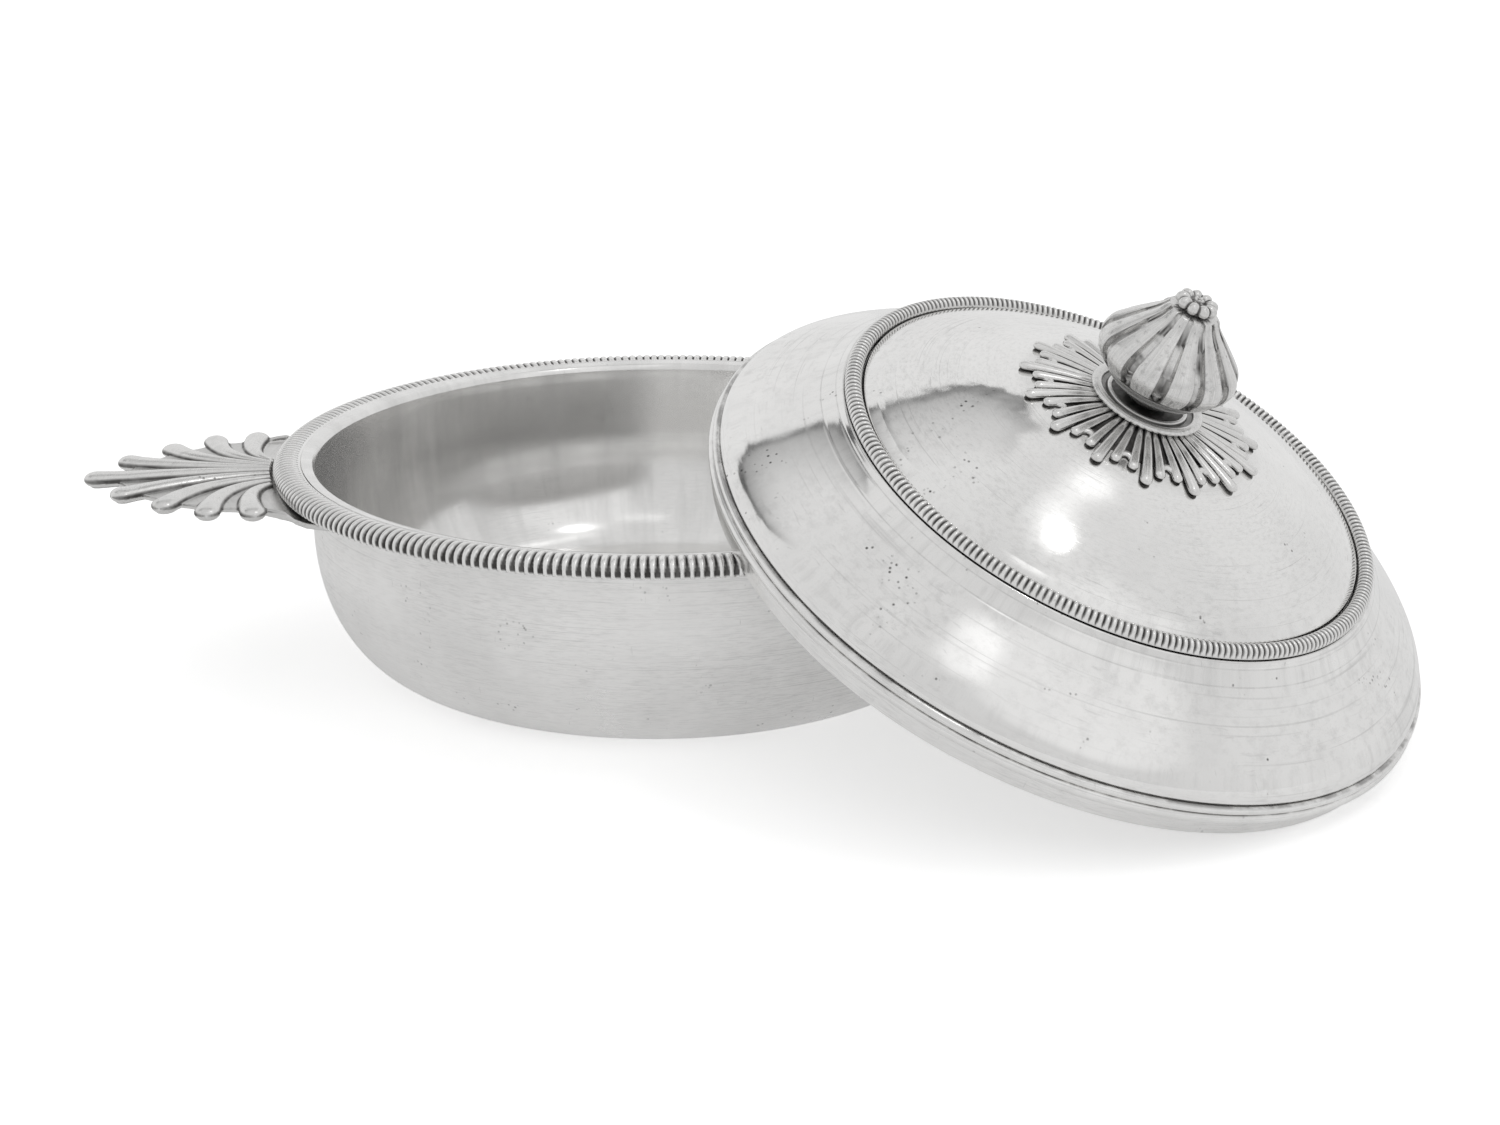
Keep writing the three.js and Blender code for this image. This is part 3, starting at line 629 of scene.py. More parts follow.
def silver(name, rough, marks, bump, patina_and_shade=0.0, rubbed=0.0, grime=0.0, settle=0.0, metal=1.0,
           tint="bright", on_lid=False):
    """One finish of silver.

    rough is its least and greatest roughness, and marks are its shares of hairlines, pits and wipes.
    The patina strength is how dark the marked corners are, with tarnish in the recesses and painted shade
    where a piece marks shade; rubbed is how far that is worn off, and grime and settle are the specks
    everywhere.
    """
    look = bpy.context.scene.ecuelle_silver
    made = bpy.data.materials.new(name)
    made.use_nodes = True
    tree = made.node_tree
    place = node(tree, "ShaderNodeTexCoord").outputs["Object"]
    if on_lid:
        lid = lid_frame()
        turned_to = {"Vector": place, "Location": lid.translation, "Rotation": lid.to_euler()}
        place = fed(tree, "ShaderNodeMapping", "Vector", turned_to, vector_type="TEXTURE")
    wear = node(tree, "ShaderNodeGroup", node_tree=bpy.data.node_groups.get("Old polish") or wear_group())
    feed(tree, wear, {
        "Vector": place, "Hairline Share": marks[0], "Pit Share": marks[1], "Wipe Share": marks[2]})
    bright = tuple(getattr(look, tint))
    layers = (
        (remap(tree, wear.outputs["Cloud"], 0.42, 0.66), 1.0, tuple(c * DULL for c in bright)),
        (wear.outputs["Brushing"], 0.8, tuple(c * GREYED for c in bright)),
        (wear.outputs["Wipes"], 1.0, tuple(c * GREYED for c in bright)),
        (wear.outputs["Hairlines"], 0.6, tuple(c * SCRATCHED for c in bright)),
        (wear.outputs["Pits"], 0.7, tuple(look.patina_and_shade)),
    )
    base = bright
    for mask, amount, colour_there in layers:
        base = mixed_colour(tree, maths(tree, "MULTIPLY", mask, amount), base, colour_there)
    roughness = remap(tree, wear.outputs["Cloud"], 0.3, 0.7, rough[0], rough[1])
    rougher = [maths(tree, "MULTIPLY", wear.outputs[mark], more) for mark, more in ROUGHER]
    roughness = maths(tree, "ADD", roughness, *rougher)
    if patina_and_shade > 0:
        hollow = node(tree, "ShaderNodeAttribute", attribute_name="Hollow").outputs["Fac"]
        unrubbed = remap(tree, wear.outputs["Broken"], 0.0, 1.0, 1.0 - rubbed, 1.0)
        deep = maths(tree, "MULTIPLY", remap(tree, hollow, 0.1, 0.8), patina_and_shade, unrubbed)
        specks = maths(
            tree, "MULTIPLY", maths(tree, "ADD", hollow, grime), wear.outputs["Speckle"], settle)
        deep = maths(tree, "MAXIMUM", deep, specks)
        # Darkens the marked corners to the dark colour: tarnish in the recesses, and painted shade where a
        # piece marks shade.
        base = mixed_colour(tree, deep, base, tuple(look.patina_and_shade))
        roughness = maths(tree, "ADD", roughness, maths(tree, "MULTIPLY", deep, 0.25))
    relief = {"Height": wear.outputs["Height"], "Strength": bump, "Distance": 0.00002}
    feed(tree, tree.nodes["Principled BSDF"], {
        "Metallic": metal, "Base Color": base, "Roughness": roughness,
        "Normal": fed(tree, "ShaderNodeBump", "Normal", relief)})
    return made


FINISHES = {
    "Bowl outside": dict(rough=(0.26, 0.34), marks=(1.15, 0.8, 0.1), bump=0.5),
    "Bowl inside": dict(rough=(0.12, 0.2), marks=(0.5, 0.4, 0.6), bump=0.12, metal=0.86),
    "Lid silver": dict(
        rough=(0.05, 0.13), marks=(0.95, 1.3, 0.0), bump=0.14, patina_and_shade=0.6, rubbed=0.6, on_lid=True),
    "Lid inside": dict(rough=(0.4, 0.5), marks=(0.5, 0.5, 0.2), bump=0.3, on_lid=True),
    "Lid edge": dict(
        rough=(0.14, 0.22), marks=(0.9, 0.4, 0.0), bump=0.2, patina_and_shade=0.55, rubbed=0.85, on_lid=True),
    "Reeded moulding": dict(rough=(0.22, 0.3), marks=(0.2, 0.2, 0.0), bump=0.12, patina_and_shade=0.97, rubbed=0.08),
    "Reeded band": dict(
        rough=(0.22, 0.3), marks=(0.2, 0.2, 0.0), bump=0.12, patina_and_shade=0.92, rubbed=0.15, on_lid=True),
    "Cast handle": dict(
        rough=(0.22, 0.31), marks=(0.8, 1.0, 0.0), bump=0.45, patina_and_shade=0.92, rubbed=0.2, grime=0.3, settle=0.65,
        tint="worn"),
    "Leaf rosette": dict(
        rough=(0.2, 0.3), marks=(0.3, 0.6, 0.0), bump=0.2, patina_and_shade=0.97, rubbed=0.15, grime=0.34, settle=0.7,
        metal=0.9, tint="worn", on_lid=True),
    "Chased finial": dict(
        rough=(0.17, 0.28), marks=(0.6, 1.0, 0.0), bump=0.35, patina_and_shade=0.97, rubbed=0.2, grime=0.5, settle=0.9,
        metal=0.85, tint="worn", on_lid=True),
    "Hidden fixings": dict(rough=(0.3, 0.4), marks=(0.3, 0.5, 0.0), bump=0.3, tint="worn", on_lid=True),
}


def finish(name):
    """A finish by its name, made when it is first asked for."""
    return bpy.data.materials.get(name) or silver(name, **FINISHES[name])


# Pieces of the bowl


class ECUELLE_OT_bowl(bpy.types.Operator):
    """Spin the raised bowl with its flat base and sloping lip"""
    bl_idname = "ecuelle.bowl"
    bl_label = "Bowl"

    def execute(self, context):
        s = context.scene.ecuelle_bowl
        quarter = [math.pi / 2 * i / 30 for i in range(31)]
        bottom = [(s.base + (s.wall - s.base) * math.sin(t), s.curve * (1 - math.cos(t))) for t in quarter]
        outside = [*bottom, (s.wall, s.seam - 0.0006)]
        lip = [
            (s.lip_outer - 0.0011, s.seam + s.lip_under),
            (s.lip_outer, s.seam + s.lip_crown),
            (s.lip_inner, s.seam + s.lip_rise),
            (s.wall - s.sheet, s.seam + s.lip_under - 0.0002),
        ]
        points = [(0, 0), *outside, *lip, *reversed(inner_line(outside, s.sheet)), (0, s.sheet)]
        piece = turned_piece("bowl_body", points, SHELL_STEPS, closed=False)
        soften_edges(piece, 0.00025)
        finish_piece(piece, "bowl", "bowl_shell", "Bowl outside")
        piece.data.materials.append(finish("Bowl inside"))
        for face in piece.data.polygons:
            out = face.normal.x * face.center.x + face.normal.y * face.center.y
            if face.center.z > s.sheet * 0.9 and (out < -1e-6 or face.normal.z > 0.4):
                face.material_index = 1
        return {"FINISHED"}


SLOT_SIDE = 0.3          # share of a slot's depth at the meridian beside it
REED_SHOULDER = 0.00003  # pressing beside the crest of a reed


class ECUELLE_OT_moulding(bpy.types.Operator):
    """Spin the oval moulding and press the slots between its reeds"""
    bl_idname = "ecuelle.moulding"
    bl_label = "Reeded moulding"

    def execute(self, context):
        s = context.scene.ecuelle_bowl
        centre = (s.mould, s.seam + s.mould_rise)
        crown = arc(centre, s.mould_wide, s.mould_high, math.radians(-25), math.radians(129), 16)
        inner = [
            (s.lip_outer + 0.0002, s.seam + s.lip_crown),
            (s.lip_outer - 0.0009, s.seam + s.lip_under),
            (s.wall + SOLDER_GAP, s.seam),
        ]
        points = [(s.mould + 0.0016, s.seam), *crown, *inner]
        piece = turned_piece("rim_reeds", points, s.reeds * REED_COLUMNS)

        def in_oval(co):
            return (radius_at(co) - centre[0]) / s.mould_wide, (co.z - centre[1]) / s.mould_high

        def roll(co):
            """Degrees round the oval: 0 faces outwards and 90 up."""
            out, up = in_oval(co)
            return math.degrees(math.atan2(up, out))

        def reeded(low, high):
            return lambda co: low < roll(co) <= high and co.z > s.seam + 0.0004

        slots = ((reeded(-19, 121), 1.0), (reeded(121, 127), 0.5))
        press_reeds(
            piece, s.reeds, REED_COLUMNS, (s.reed_depth, s.reed_depth * SLOT_SIDE, REED_SHOULDER, 0), slots)
        widening = [
            (reeded(low, high), part)
            for low, high, part in ((-19, 4, 1.0), (4, 26, 0.7), (26, 50, 0.4), (50, 74, 0.15))]
        press_reeds(piece, s.reeds, REED_COLUMNS, (0, s.reed_depth * 0.4, 0.00004, 0), widening)

        def depth(co):
            """Dark in the slots, which lie inside the oval."""
            reached = co.z > s.seam + 0.0003 and -24 < roll(co) < 128
            return (0.97 - math.hypot(*in_oval(co))) * 10 if reached else 0

        finish_piece(
            piece, "bowl", "rim_gadroon", "Reeded moulding", hollow=depth,
            limit=math.radians(70))
        return {"FINISHED"}


# Of the middle lobe's reach and of the half width, by the lobe's rank from the middle one
LOBE_ALONG_SHARES = (1, 0.83, 0.57, 0.32, 0.07)
LOBE_SIDE_SHARES = (0, 0.44, 0.75, 0.95, 1)
BEND_ALONG_SHARES = (0.5, 0.5, 0.44, 0.32, 0.17)
BEND_SIDE_SHARES = (0, 0.16, 0.3, 0.42, 0.5)


def lobe_line(s, lobe, steps):
    """The middle line of one lobe as flat points, from the moulding out to its end."""
    rank = abs(lobe)
    side = (lobe > 0) - (lobe < 0)
    start_side = s.root_spread * lobe / 4
    start = Vector((max(math.sqrt((s.root + 0.0003) ** 2 - start_side ** 2), s.root), start_side))
    end = Vector((s.root + s.reach * LOBE_ALONG_SHARES[rank], side * s.spread * LOBE_SIDE_SHARES[rank]))
    bend = Vector((s.root + s.reach * BEND_ALONG_SHARES[rank], side * s.spread * BEND_SIDE_SHARES[rank]))
    return bowed(start, bend, end, [i / steps for i in range(steps + 1)])


def lobe_bar(s, base, lobe):
    """One lobe: a bar that swells from a fine rib to a round end, pressed a little flat."""
    line = lobe_line(s, lobe, 60)
    span = sum((b - a).length for a, b in zip(line, line[1:]))
    stops = [i / 30 for i in range(30)]
    round_off = [1 - s.lobe / span * (1 - math.sin(k * math.pi / 20)) for k in range(11)]
    points, radii = [], []
    for t in sorted({t for t in [*stops, *round_off] if t < round_off[0]} | set(round_off)):
        place = line[min(round(t * 60), 60)] if t < 1 else line[-1]
        left = (1 - t) * span
        radius = s.rib + (s.lobe - s.rib) * t ** 0.98
        if left < s.lobe:
            radius *= math.sqrt(max(1 - (1 - left / s.lobe) ** 2, 0.002))
            place = line[-1] + (line[-2] - line[-1]).normalized() * left
        points.append((place.x, place.y, 0.0))
        radii.append(radius)
    knots = spread_knots(points, radii)
    bar = rod(f"lobe {lobe}", points, radii, sides=6)
    for v in bar.data.vertices:
        r = min(math.hypot(v.co.x - s.root, v.co.y) / s.reach * 1.3, 1.0)
        lift = s.ridge / s.lobe * (2.2 - 1.2 * r)
        v.co.z = base + s.plate + v.co.z * lift - abs(lobe) * 0.0001
    return bar, knots


def web_outline(s):
    """Outline of the thin plate behind the lobes, scalloped between their ends."""
    lines = [lobe_line(s, lobe, 20) for lobe in range(-4, 5)]
    outline = []
    for a, b in zip(lines, lines[1:]):
        back, front = (a[16] + b[16]) / 2, (a[18] + b[18]) / 2
        dip = back + (front - back) * 0.1
        outline += bowed(a[17], dip, b[17], [i / 6 for i in range(6)])
    return [*outline, *lines[-1][17::-1], *lines[0][:17]]


def wing_parts(s, bowl, base, corner):
    """The flared wing under the moulding, its raised borders and the neck under the ribs' roots."""
    inner = bowl.wall + SOLDER_GAP
    foot = bowl.seam - SOLDER_GAP - s.wing_thick
    turns = [s.wing_turn * (i / 12 - 1) for i in range(25)]
    ring = [Vector((inner * math.cos(t), inner * math.sin(t))) for t in turns]
    tip = Vector((math.cos(s.wing_turn), math.sin(s.wing_turn))) * (inner + s.wing_wide)
    bend = Vector((s.root - 0.0016, corner.y + s.wing_wide))
    sweep = bowed(tip, bend, corner, [i / 8 for i in range(9)])
    mirrored = [Vector((p.x, -p.y)) for p in reversed(sweep)]
    wing = plate_from("wing", [*ring, *sweep, *mirrored], foot, foot + s.wing_thick * 0.65)
    half = s.wing_thick / 2
    edges = [[(p.x - half * 0.5, side * p.y, foot + half) for p in sweep] for side in (1, -1)]
    borders = [rod("border", edge, [half * 0.85] * len(edge)) for edge in edges]
    for part, proud in ((wing, 0), *((border, 0.0002) for border in borders)):
        rise = base + 0.0005 + proud - foot - s.wing_thick * 0.4
        for v in part.data.vertices:
            out = min(max((radius_at(v.co) - s.root + 0.0002) / 0.0034, 0), 1)
            v.co.z += rise * out * out * (3 - 2 * out)
    reach = math.asin(s.root_spread / s.root)
    turns = [reach * (i / 8 - 1) for i in range(17)]
    neck_ring = [Vector((s.root * math.cos(t), s.root * math.sin(t))) for t in turns]
    front = [Vector((s.root + 0.006, side * s.root_spread)) for side in (1, -1)]
    return [wing, *borders, plate_from("neck", [*neck_ring, *front], foot, base + s.plate)]


def build_handle(name, droop):
    """The palmette: nine lobes on a scalloped plate, with a flared wing under the moulding."""
    bowl = bpy.context.scene.ecuelle_bowl
    s = bpy.context.scene.ecuelle_handle
    base = bowl.seam + s.rise
    made = [lobe_bar(s, base, lobe) for lobe in range(-4, 5)]
    bars = [bar for bar, knots in made]
    knots = [knot for bar, spread in made for knot in spread]
    plate = plate_from("web", web_outline(s), base, base + s.plate)
    handle = join_pieces(name, [*bars, plate, *wing_parts(s, bowl, base, lobe_line(s, 4, 10)[8])])
    cast_whole(handle, 0.0003, 2)

    def beside_lobes(gap, rise, co):
        # Painted shade: the underside is a little dark. The creases beside the lobes and the webs are darker
        # with tarnish.
        if co.z < base + s.plate * 0.6:
            return 0.2
        crease = 1.1 - abs(gap - 0.00005) / 0.0005
        return max(crease, 0.3 if gap > 0 else 0)

    tarnish_and_shade_between(handle, knots, True, beside_lobes)
    slope = s.tip_lift / s.reach - math.tan(droop)
    for v in handle.data.vertices:
        if v.co.x > s.root and v.co.z > bowl.seam:
            v.co.z += (v.co.x - s.root) * slope
    return handle


class ECUELLE_OT_handles(bpy.types.Operator):
    """Cast the two palmette handles from nine lobes on a scalloped web"""
    bl_idname = "ecuelle.handles"
    bl_label = "Handles"

    def execute(self, context):
        left = build_handle("palmette_left", 0)
        turn_about(left, math.pi)
        right = build_handle("palmette_right", context.scene.ecuelle_handle.droop)
        for piece, stands_for in ((left, "handle_left"), (right, "handle_right")):
            finish_piece(piece, "bowl", stands_for, "Cast handle", limit=None)
        return {"FINISHED"}


# Pieces of the lid


def dome_at(s, r):
    return s.dome_high - r ** 2 / (2 * s.dome_round)


SCRIBED = (28, 39)  # places of the two scribed lines on the shoulder's sweep


def shoulder_sweep(s):
    """The shoulder's swelling line from the beads up to the ledge, with closer points towards its top."""
    wide = s.shoulder - s.ledge
    high = s.ledge_high - s.shoulder_foot
    p0, p3 = Vector((s.shoulder, s.shoulder_foot)), Vector((s.ledge, s.ledge_high))
    p1 = Vector((s.shoulder, s.shoulder_foot + high * 0.25))
    p2 = Vector((s.shoulder - wide * 0.71, s.shoulder_foot + high * 0.59))
    stops = [*(i / 30 for i in range(24)), *(0.8 + 0.2 * i / 20 for i in range(21))]
    return [
        tuple(p0 * (1 - t) ** 3 + p1 * 3 * t * (1 - t) ** 2 + p2 * 3 * t * t * (1 - t) + p3 * t ** 3)
        for t in stops]


class ECUELLE_OT_lid(bpy.types.Operator):
    """Spin the raised lid: shoulder, ledge, step and dome"""
    bl_idname = "ecuelle.lid"
    bl_label = "Lid"

    def execute(self, context):
        s = context.scene.ecuelle_lid
        sweep = shoulder_sweep(s)
        fine_lines = [sweep[i] for i in SCRIBED]
        for i in SCRIBED:
            sweep[i] = (sweep[i][0] - 0.00003, sweep[i][1] - 0.00004)
        dome = [(r, dome_at(s, r)) for r in (s.step + (STUD_HOLE - s.step) * i / 40 for i in range(1, 41))]
        step_top = dome_at(s, s.step)
        outside = [
            *sweep,
            (s.ledge_inner, s.ledge_high),
            (s.ledge_inner - 0.0003, s.ledge_high + 0.0014),
            (s.step + 0.0004, step_top - s.step_high),
            (s.step, step_top),
            *dome,
        ]
        middle = [*sweep, (s.ledge_inner, s.ledge_high), (s.step, step_top), *dome]
        inside = [
            (s.shoulder - s.sheet, s.shoulder_foot),
            *inner_line(middle, s.sheet)[1:-1],
            (STUD_HOLE, dome_at(s, STUD_HOLE) - s.sheet),
        ]
        piece = turned_piece("lid_body", [*outside, *reversed(inside)], SHELL_STEPS)
        soften_edges(piece, 0.0002)

        def stains_and_shade(co):
            """Dark beside the band and in the scribed lines, with painted shade faintly round the leaf
            fingers.
            """
            r = radius_at(co)
            seams = ((s.ledge_inner, s.ledge_high), (s.ledge - 0.0005, s.ledge_high))
            by_band = 0.85 - min(math.hypot(r - x, co.z - z) for x, z in seams) / 0.0006
            lines = 0.55 - min(math.hypot(r - x, co.z - z) for x, z in fine_lines) / 0.0003
            # Painted shade, faint, in a ring round the leaf fingers on the dome.
            shade_by_leaves = 0.34 * (1 - abs(r - 0.0245) / 0.0075)
            return max(by_band, lines, shade_by_leaves)

        finish_piece(piece, "lid", "lid_shell", "Lid silver", hollow=stains_and_shade)
        piece.data.materials.append(finish("Lid inside"))
        up = Vector(frame["joints"][0]["axis"])
        for face in piece.data.polygons:
            if face.normal.dot(up) < -0.02:
                face.material_index = 1
        return {"FINISHED"}


def half_round(radius, foot, high, bulge, steps):
    """The outline of a bead that bulges outwards over its height."""
    return arc((radius - bulge, foot + high / 2), bulge, high / 2, -math.pi / 2, math.pi / 2, steps)


class ECUELLE_OT_lid_edge(bpy.types.Operator):
    """Spin the bezel and the twin beads round the lid's edge"""
    bl_idname = "ecuelle.lid_edge"
    bl_label = "Lid edge"

    def execute(self, context):
        s = context.scene.ecuelle_lid
        inner = s.bezel - s.bezel_wall
        top = s.shoulder_foot - SOLDER_GAP
        corners = [(inner, 0), (s.bezel, 0), (s.bezel, top), (inner, top)]
        bezel = turned_piece("bezel_ring", corners, SHELL_STEPS)
        soften_edges(bezel, 0.0002)
        finish_piece(bezel, "lid", "lid_bezel", "Lid edge")
        seam = s.bead_foot + s.lower_high
        seat = s.bezel + SOLDER_GAP
        lower = half_round(s.lower_bead, s.bead_foot, s.lower_high, 0.0012, 10)
        upper = half_round(s.upper_bead, seam, s.upper_high, 0.0009, 9)
        beads = turned_piece(
            "rim_beads", [(seat, s.bead_foot), *lower, *upper, (seat, seam + s.upper_high)], SHELL_STEPS)

        def seam_depth(co):
            near = 1 - min(abs(co.z - z) for z in (seam, s.bead_foot, seam + s.upper_high)) / 0.0003
            return near if radius_at(co) > seat + 0.0004 else 0

        finish_piece(
            beads, "lid", "lid_rim_moulding", "Lid edge", hollow=seam_depth,
            limit=math.radians(50))
        return {"FINISHED"}


class ECUELLE_OT_band(bpy.types.Operator):
    """Spin the raised band round the dome and press its fine reeds"""
    bl_idname = "ecuelle.band"
    bl_label = "Reeded band"

    def execute(self, context):
        s = context.scene.ecuelle_lid
        foot = s.ledge_high + SOLDER_GAP
        spring = foot + 0.0006
        rise = s.band_high - 0.0006
        middle = (s.band_inner + s.band_outer) / 2
        half = (s.band_outer - s.band_inner) / 2
        crown = arc((middle, spring), half, rise, 0, math.pi, 12)
        outline = [(s.band_inner, foot), (s.band_outer, foot), *crown]
        piece = turned_piece("band_reeds", outline, s.band_reeds * REED_COLUMNS)

        def on_crown(co):
            return co.z > foot + 0.0009 and radius_at(co) > middle - half * 0.9

        def on_outer_foot(co):
            return foot + 0.0003 < co.z <= foot + 0.0009 and radius_at(co) > middle

        slot = (s.band_depth, s.band_depth * 0.4, 0.00002, 0)
        press_reeds(piece, s.band_reeds, REED_COLUMNS, slot, ((on_crown, 1.0), (on_outer_foot, 0.6)))

        def depth(co):
            """Dark in the slots, along the inner foot and a little on the outer one."""
            r = radius_at(co)
            if r < middle and co.z < foot + 0.0009:
                return 0.8
            if co.z <= foot + 0.0004:
                return 0.25
            return (0.975 - math.hypot((r - middle) / half, (co.z - spring) / rise)) * 8

        finish_piece(
            piece, "lid", "lid_gadroon", "Reeded band", hollow=depth, limit=math.radians(70))
        return {"FINISHED"}


FINGER_BED = 0.00022    # how deep the leaf fingers sit in the dome
FINGER_FLATNESS = 0.68  # height that is left of their round bars


def finger(s, lid, name, turn_in, turn_out, tip, thick):
    """One leaf finger: a bar that runs out over the dome, swells and ends round."""
    start = s.collar - 0.0016
    points, radii = [], []
    for t in (0, 0.12, 0.24, 0.36, 0.48, 0.6, 0.7, 0.8, 0.88, 0.92, 0.95, 0.975, 0.99, 1):
        r = start + (tip - start) * t
        turn = turn_in + (turn_out - turn_in) * t * t
        swell = thick * (0.5 + 0.5 * t ** 1.1)
        round_end = math.sqrt(max(1 - ((t - 0.92) / 0.08) ** 2, 0.01)) if t > 0.92 else 1
        height = dome_at(lid, r) + 0.00035 + thick * (0.6 + 0.4 * t)
        points.append((r * math.cos(turn), r * math.sin(turn), height))
        radii.append(swell * round_end)
    return rod(name, points, radii, sides=5), spread_knots(points, radii)


def arch(s, lid, wedge):
    """The low arch that joins two neighbouring groups of fingers."""
    points = []
    for t in (-1, -0.92, -0.8, -0.6, -0.4, -0.2, 0, 0.2, 0.4, 0.6, 0.8, 0.92, 1):
        turn = wedge / 2 + t * wedge * 0.2
        r = s.arch + 0.0029 * (1 - math.sqrt(max(1 - t * t, 0)))
        points.append((r * math.cos(turn), r * math.sin(turn), dome_at(lid, r) + 0.0012))
    radii = [0.00086] * len(points)
    return rod("arch", points, radii), spread_knots(points, radii)


def dark_ground(lid, inner, rim):
    """The thin plate that shows between the fingers; the rosette paints it dark, as tarnish and painted
    shade.
    """
    line = [(r, dome_at(lid, r) + 0.0003) for r in (inner + (rim - inner) * i / 12 for i in range(13))]
    top = [(r, z + 0.0006) for r, z in reversed(line)]
    return turned_piece("ground", [*line, *top], 150)


class ECUELLE_OT_rosette(bpy.types.Operator):
    """Make the sunburst of leaf fingers in threes with arches between them"""
    bl_idname = "ecuelle.rosette"
    bl_label = "Leaf rosette"

    def execute(self, context):
        s = context.scene.ecuelle_finial
        lid = context.scene.ecuelle_lid
        wedge = FULL_TURN / s.groups
        made = [
            finger(s, lid, "middle finger", 0, 0, s.tip, 0.00148),
            finger(s, lid, "left finger", wedge * 0.32, wedge * 0.295, s.side, 0.00128),
            finger(s, lid, "right finger", -wedge * 0.32, -wedge * 0.295, s.side, 0.00128),
            arch(s, lid, wedge),
        ]
        group = join_pieces("finger group", [part for part, spread in made])
        spread_all = []
        for i in range(s.groups):
            spin = Matrix.Rotation(wedge * i + s.turn, 3, "Z")
            spread_all += [(spin @ place, radius) for part, spread in made for place, radius in spread]
        rim = s.arch + 0.0004
        whole = join_pieces("leaf_fingers", [*repeated(group, s.groups), dark_ground(lid, 0.008, rim)])
        turn_about(whole, s.turn)
        smooth(whole, math.radians(50))

        def low_beside_fingers(gap, rise, co):
            # Painted shade: the ground between the fingers is all dark, as tarnish and shade together, and
            # each finger is darker on its lower side than on its top; the tips past the arches are dark only
            # underneath.
            if gap > 0.00012:
                return 1.0
            return (0.35 - rise) / 0.5 if radius_at(co) < rim else (0.05 - rise) / 0.7

        tarnish_and_shade_between(whole, spread_all, False, low_beside_fingers)
        for v in whole.data.vertices:
            ground = dome_at(lid, radius_at(v.co))
            v.co.z = ground - FINGER_BED + (v.co.z - ground - 0.0003) * FINGER_FLATNESS
        finish_piece(whole, "lid", "leaf_rosette", "Leaf rosette", limit=None)
        return {"FINISHED"}


class ECUELLE_OT_collar(bpy.types.Operator):
    """Spin the turned collar under the bud"""
    bl_idname = "ecuelle.collar"
    bl_label = "Collar"

    def execute(self, context):
        s = context.scene.ecuelle_finial
        lid = context.scene.ecuelle_lid
        foot = s.collar_foot
        middle = foot + s.collar_high / 2
        bead = arc((s.collar - 0.0012, middle), 0.0012, s.collar_high / 2, -0.5, math.pi * 0.96, 12)
        inner = arc((0.0092, middle), 0.00055, s.collar_high / 2 - 0.0003, 0, math.pi, 8)
        groove = [(0.0109, middle - 0.0003), (0.0105, foot + 0.0003), (0.0099, foot + 0.0003)]
        spigot = 0.0077
        points = [
            *((r, dome_at(lid, r) + SOLDER_GAP) for r in (STUD_HOLE, spigot)),
            (spigot, foot + 0.0005), (s.collar - 0.001, foot),
            *bead, *groove, *inner,
            (0.0084, middle - 0.0004), (STUD_HOLE, middle - 0.0004)]
        piece = turned_piece("turned_collar", points, 160)

        def depth(co):
            """Painted shadow, all dark, in the well under the bud, and half dark in the groove."""
            r = radius_at(co)
            in_groove = 0.0097 < r < 0.0111 and co.z < middle + 0.0002
            # The well is painted black as the shadow under the bud; the groove is half dark.
            return 1.0 if r < 0.0085 else (0.6 if in_groove else 0)

        finish_piece(piece, "lid", "finial_collar", "Chased finial", hollow=depth)
        return {"FINISHED"}


class ECUELLE_OT_bud(bpy.types.Operator):
    """Spin the bud and press the narrow flutes between its petals"""
    bl_idname = "ecuelle.bud"
    bl_label = "Bud"

    def execute(self, context):
        s = context.scene.ecuelle_finial
        foot = s.bud_foot
        belly = flowing(
            [(0.006, -0.0036), (0.0085, -0.003), (0.0107, -0.0017), (0.0125, 0.0), (0.0137, 0.0014)], 4)
        outline = flowing([
            (0.01405, 0.0015), (0.0149, 0.0026), (0.0159, 0.0042), (0.0162, 0.0058), (0.0156, 0.0078),
            (0.0141, 0.0096), (0.0105, 0.0131), (0.0075, 0.016), (0.0056, 0.0186)], 5)
        top = 0.0186
        under = [(0.0, 0.008), (STUD_HOLE, 0.008), (STUD_HOLE, -0.0052), (0.0052, -0.0052), (0.0052, -0.0037)]
        points = [(r, foot + z) for r, z in [*under, *belly, *outline, (0.0, top)]]
        piece = turned_piece("fluted_bud", points, s.petals * PETAL_COLUMNS, closed=False)
        low, high = foot + 0.0018, foot + top - 0.0003

        def on_petals(co):
            return low < co.z < high and radius_at(co) > 0.0048

        profile = (0.66, 0.72, 1.0, 0.3, -0.05, -0.13, -0.17, -0.19, -0.2, -0.2, -0.2)
        press_reeds(piece, s.petals, PETAL_COLUMNS, tuple(s.flute * d for d in profile), ((on_petals, 1.0),))

        def depth(co):
            """Dark lines on both sides of each flute, uneven stain marks in it, the seam under the petals,
            and painted shadow on the part below the belly.
            """
            if not on_petals(co):
                seam = 1.2 - abs(co.z - foot - 0.0015) / 0.0005
                # Below the belly the bud is painted dark as shadow.
                return max(seam, 0.9 if co.z < foot - 0.0038 else 0.1)
            off = from_line(co, s.petals) / (FULL_TURN / s.petals / PETAL_COLUMNS)
            line = 1.7 - abs(off - 2) / 1.15
            flute = round(heading_at(co) / (FULL_TURN / s.petals))
            if off >= 1.5:
                return max(line, 0.14 * math.sin(co.z * 400 + flute * 1.7))
            broad, narrow = math.sin(co.z * 620 + flute * 2.3), math.sin(co.z * 1500 + flute * 4.1)
            stain = max(0.42 + 0.34 * broad + 0.2 * narrow, 0.15)
            return max(line, stain * min((high - co.z) / 0.003, 1))

        finish_piece(
            piece, "lid", "finial_bud", "Chased finial", hollow=depth, limit=math.radians(60))
        return {"FINISHED"}


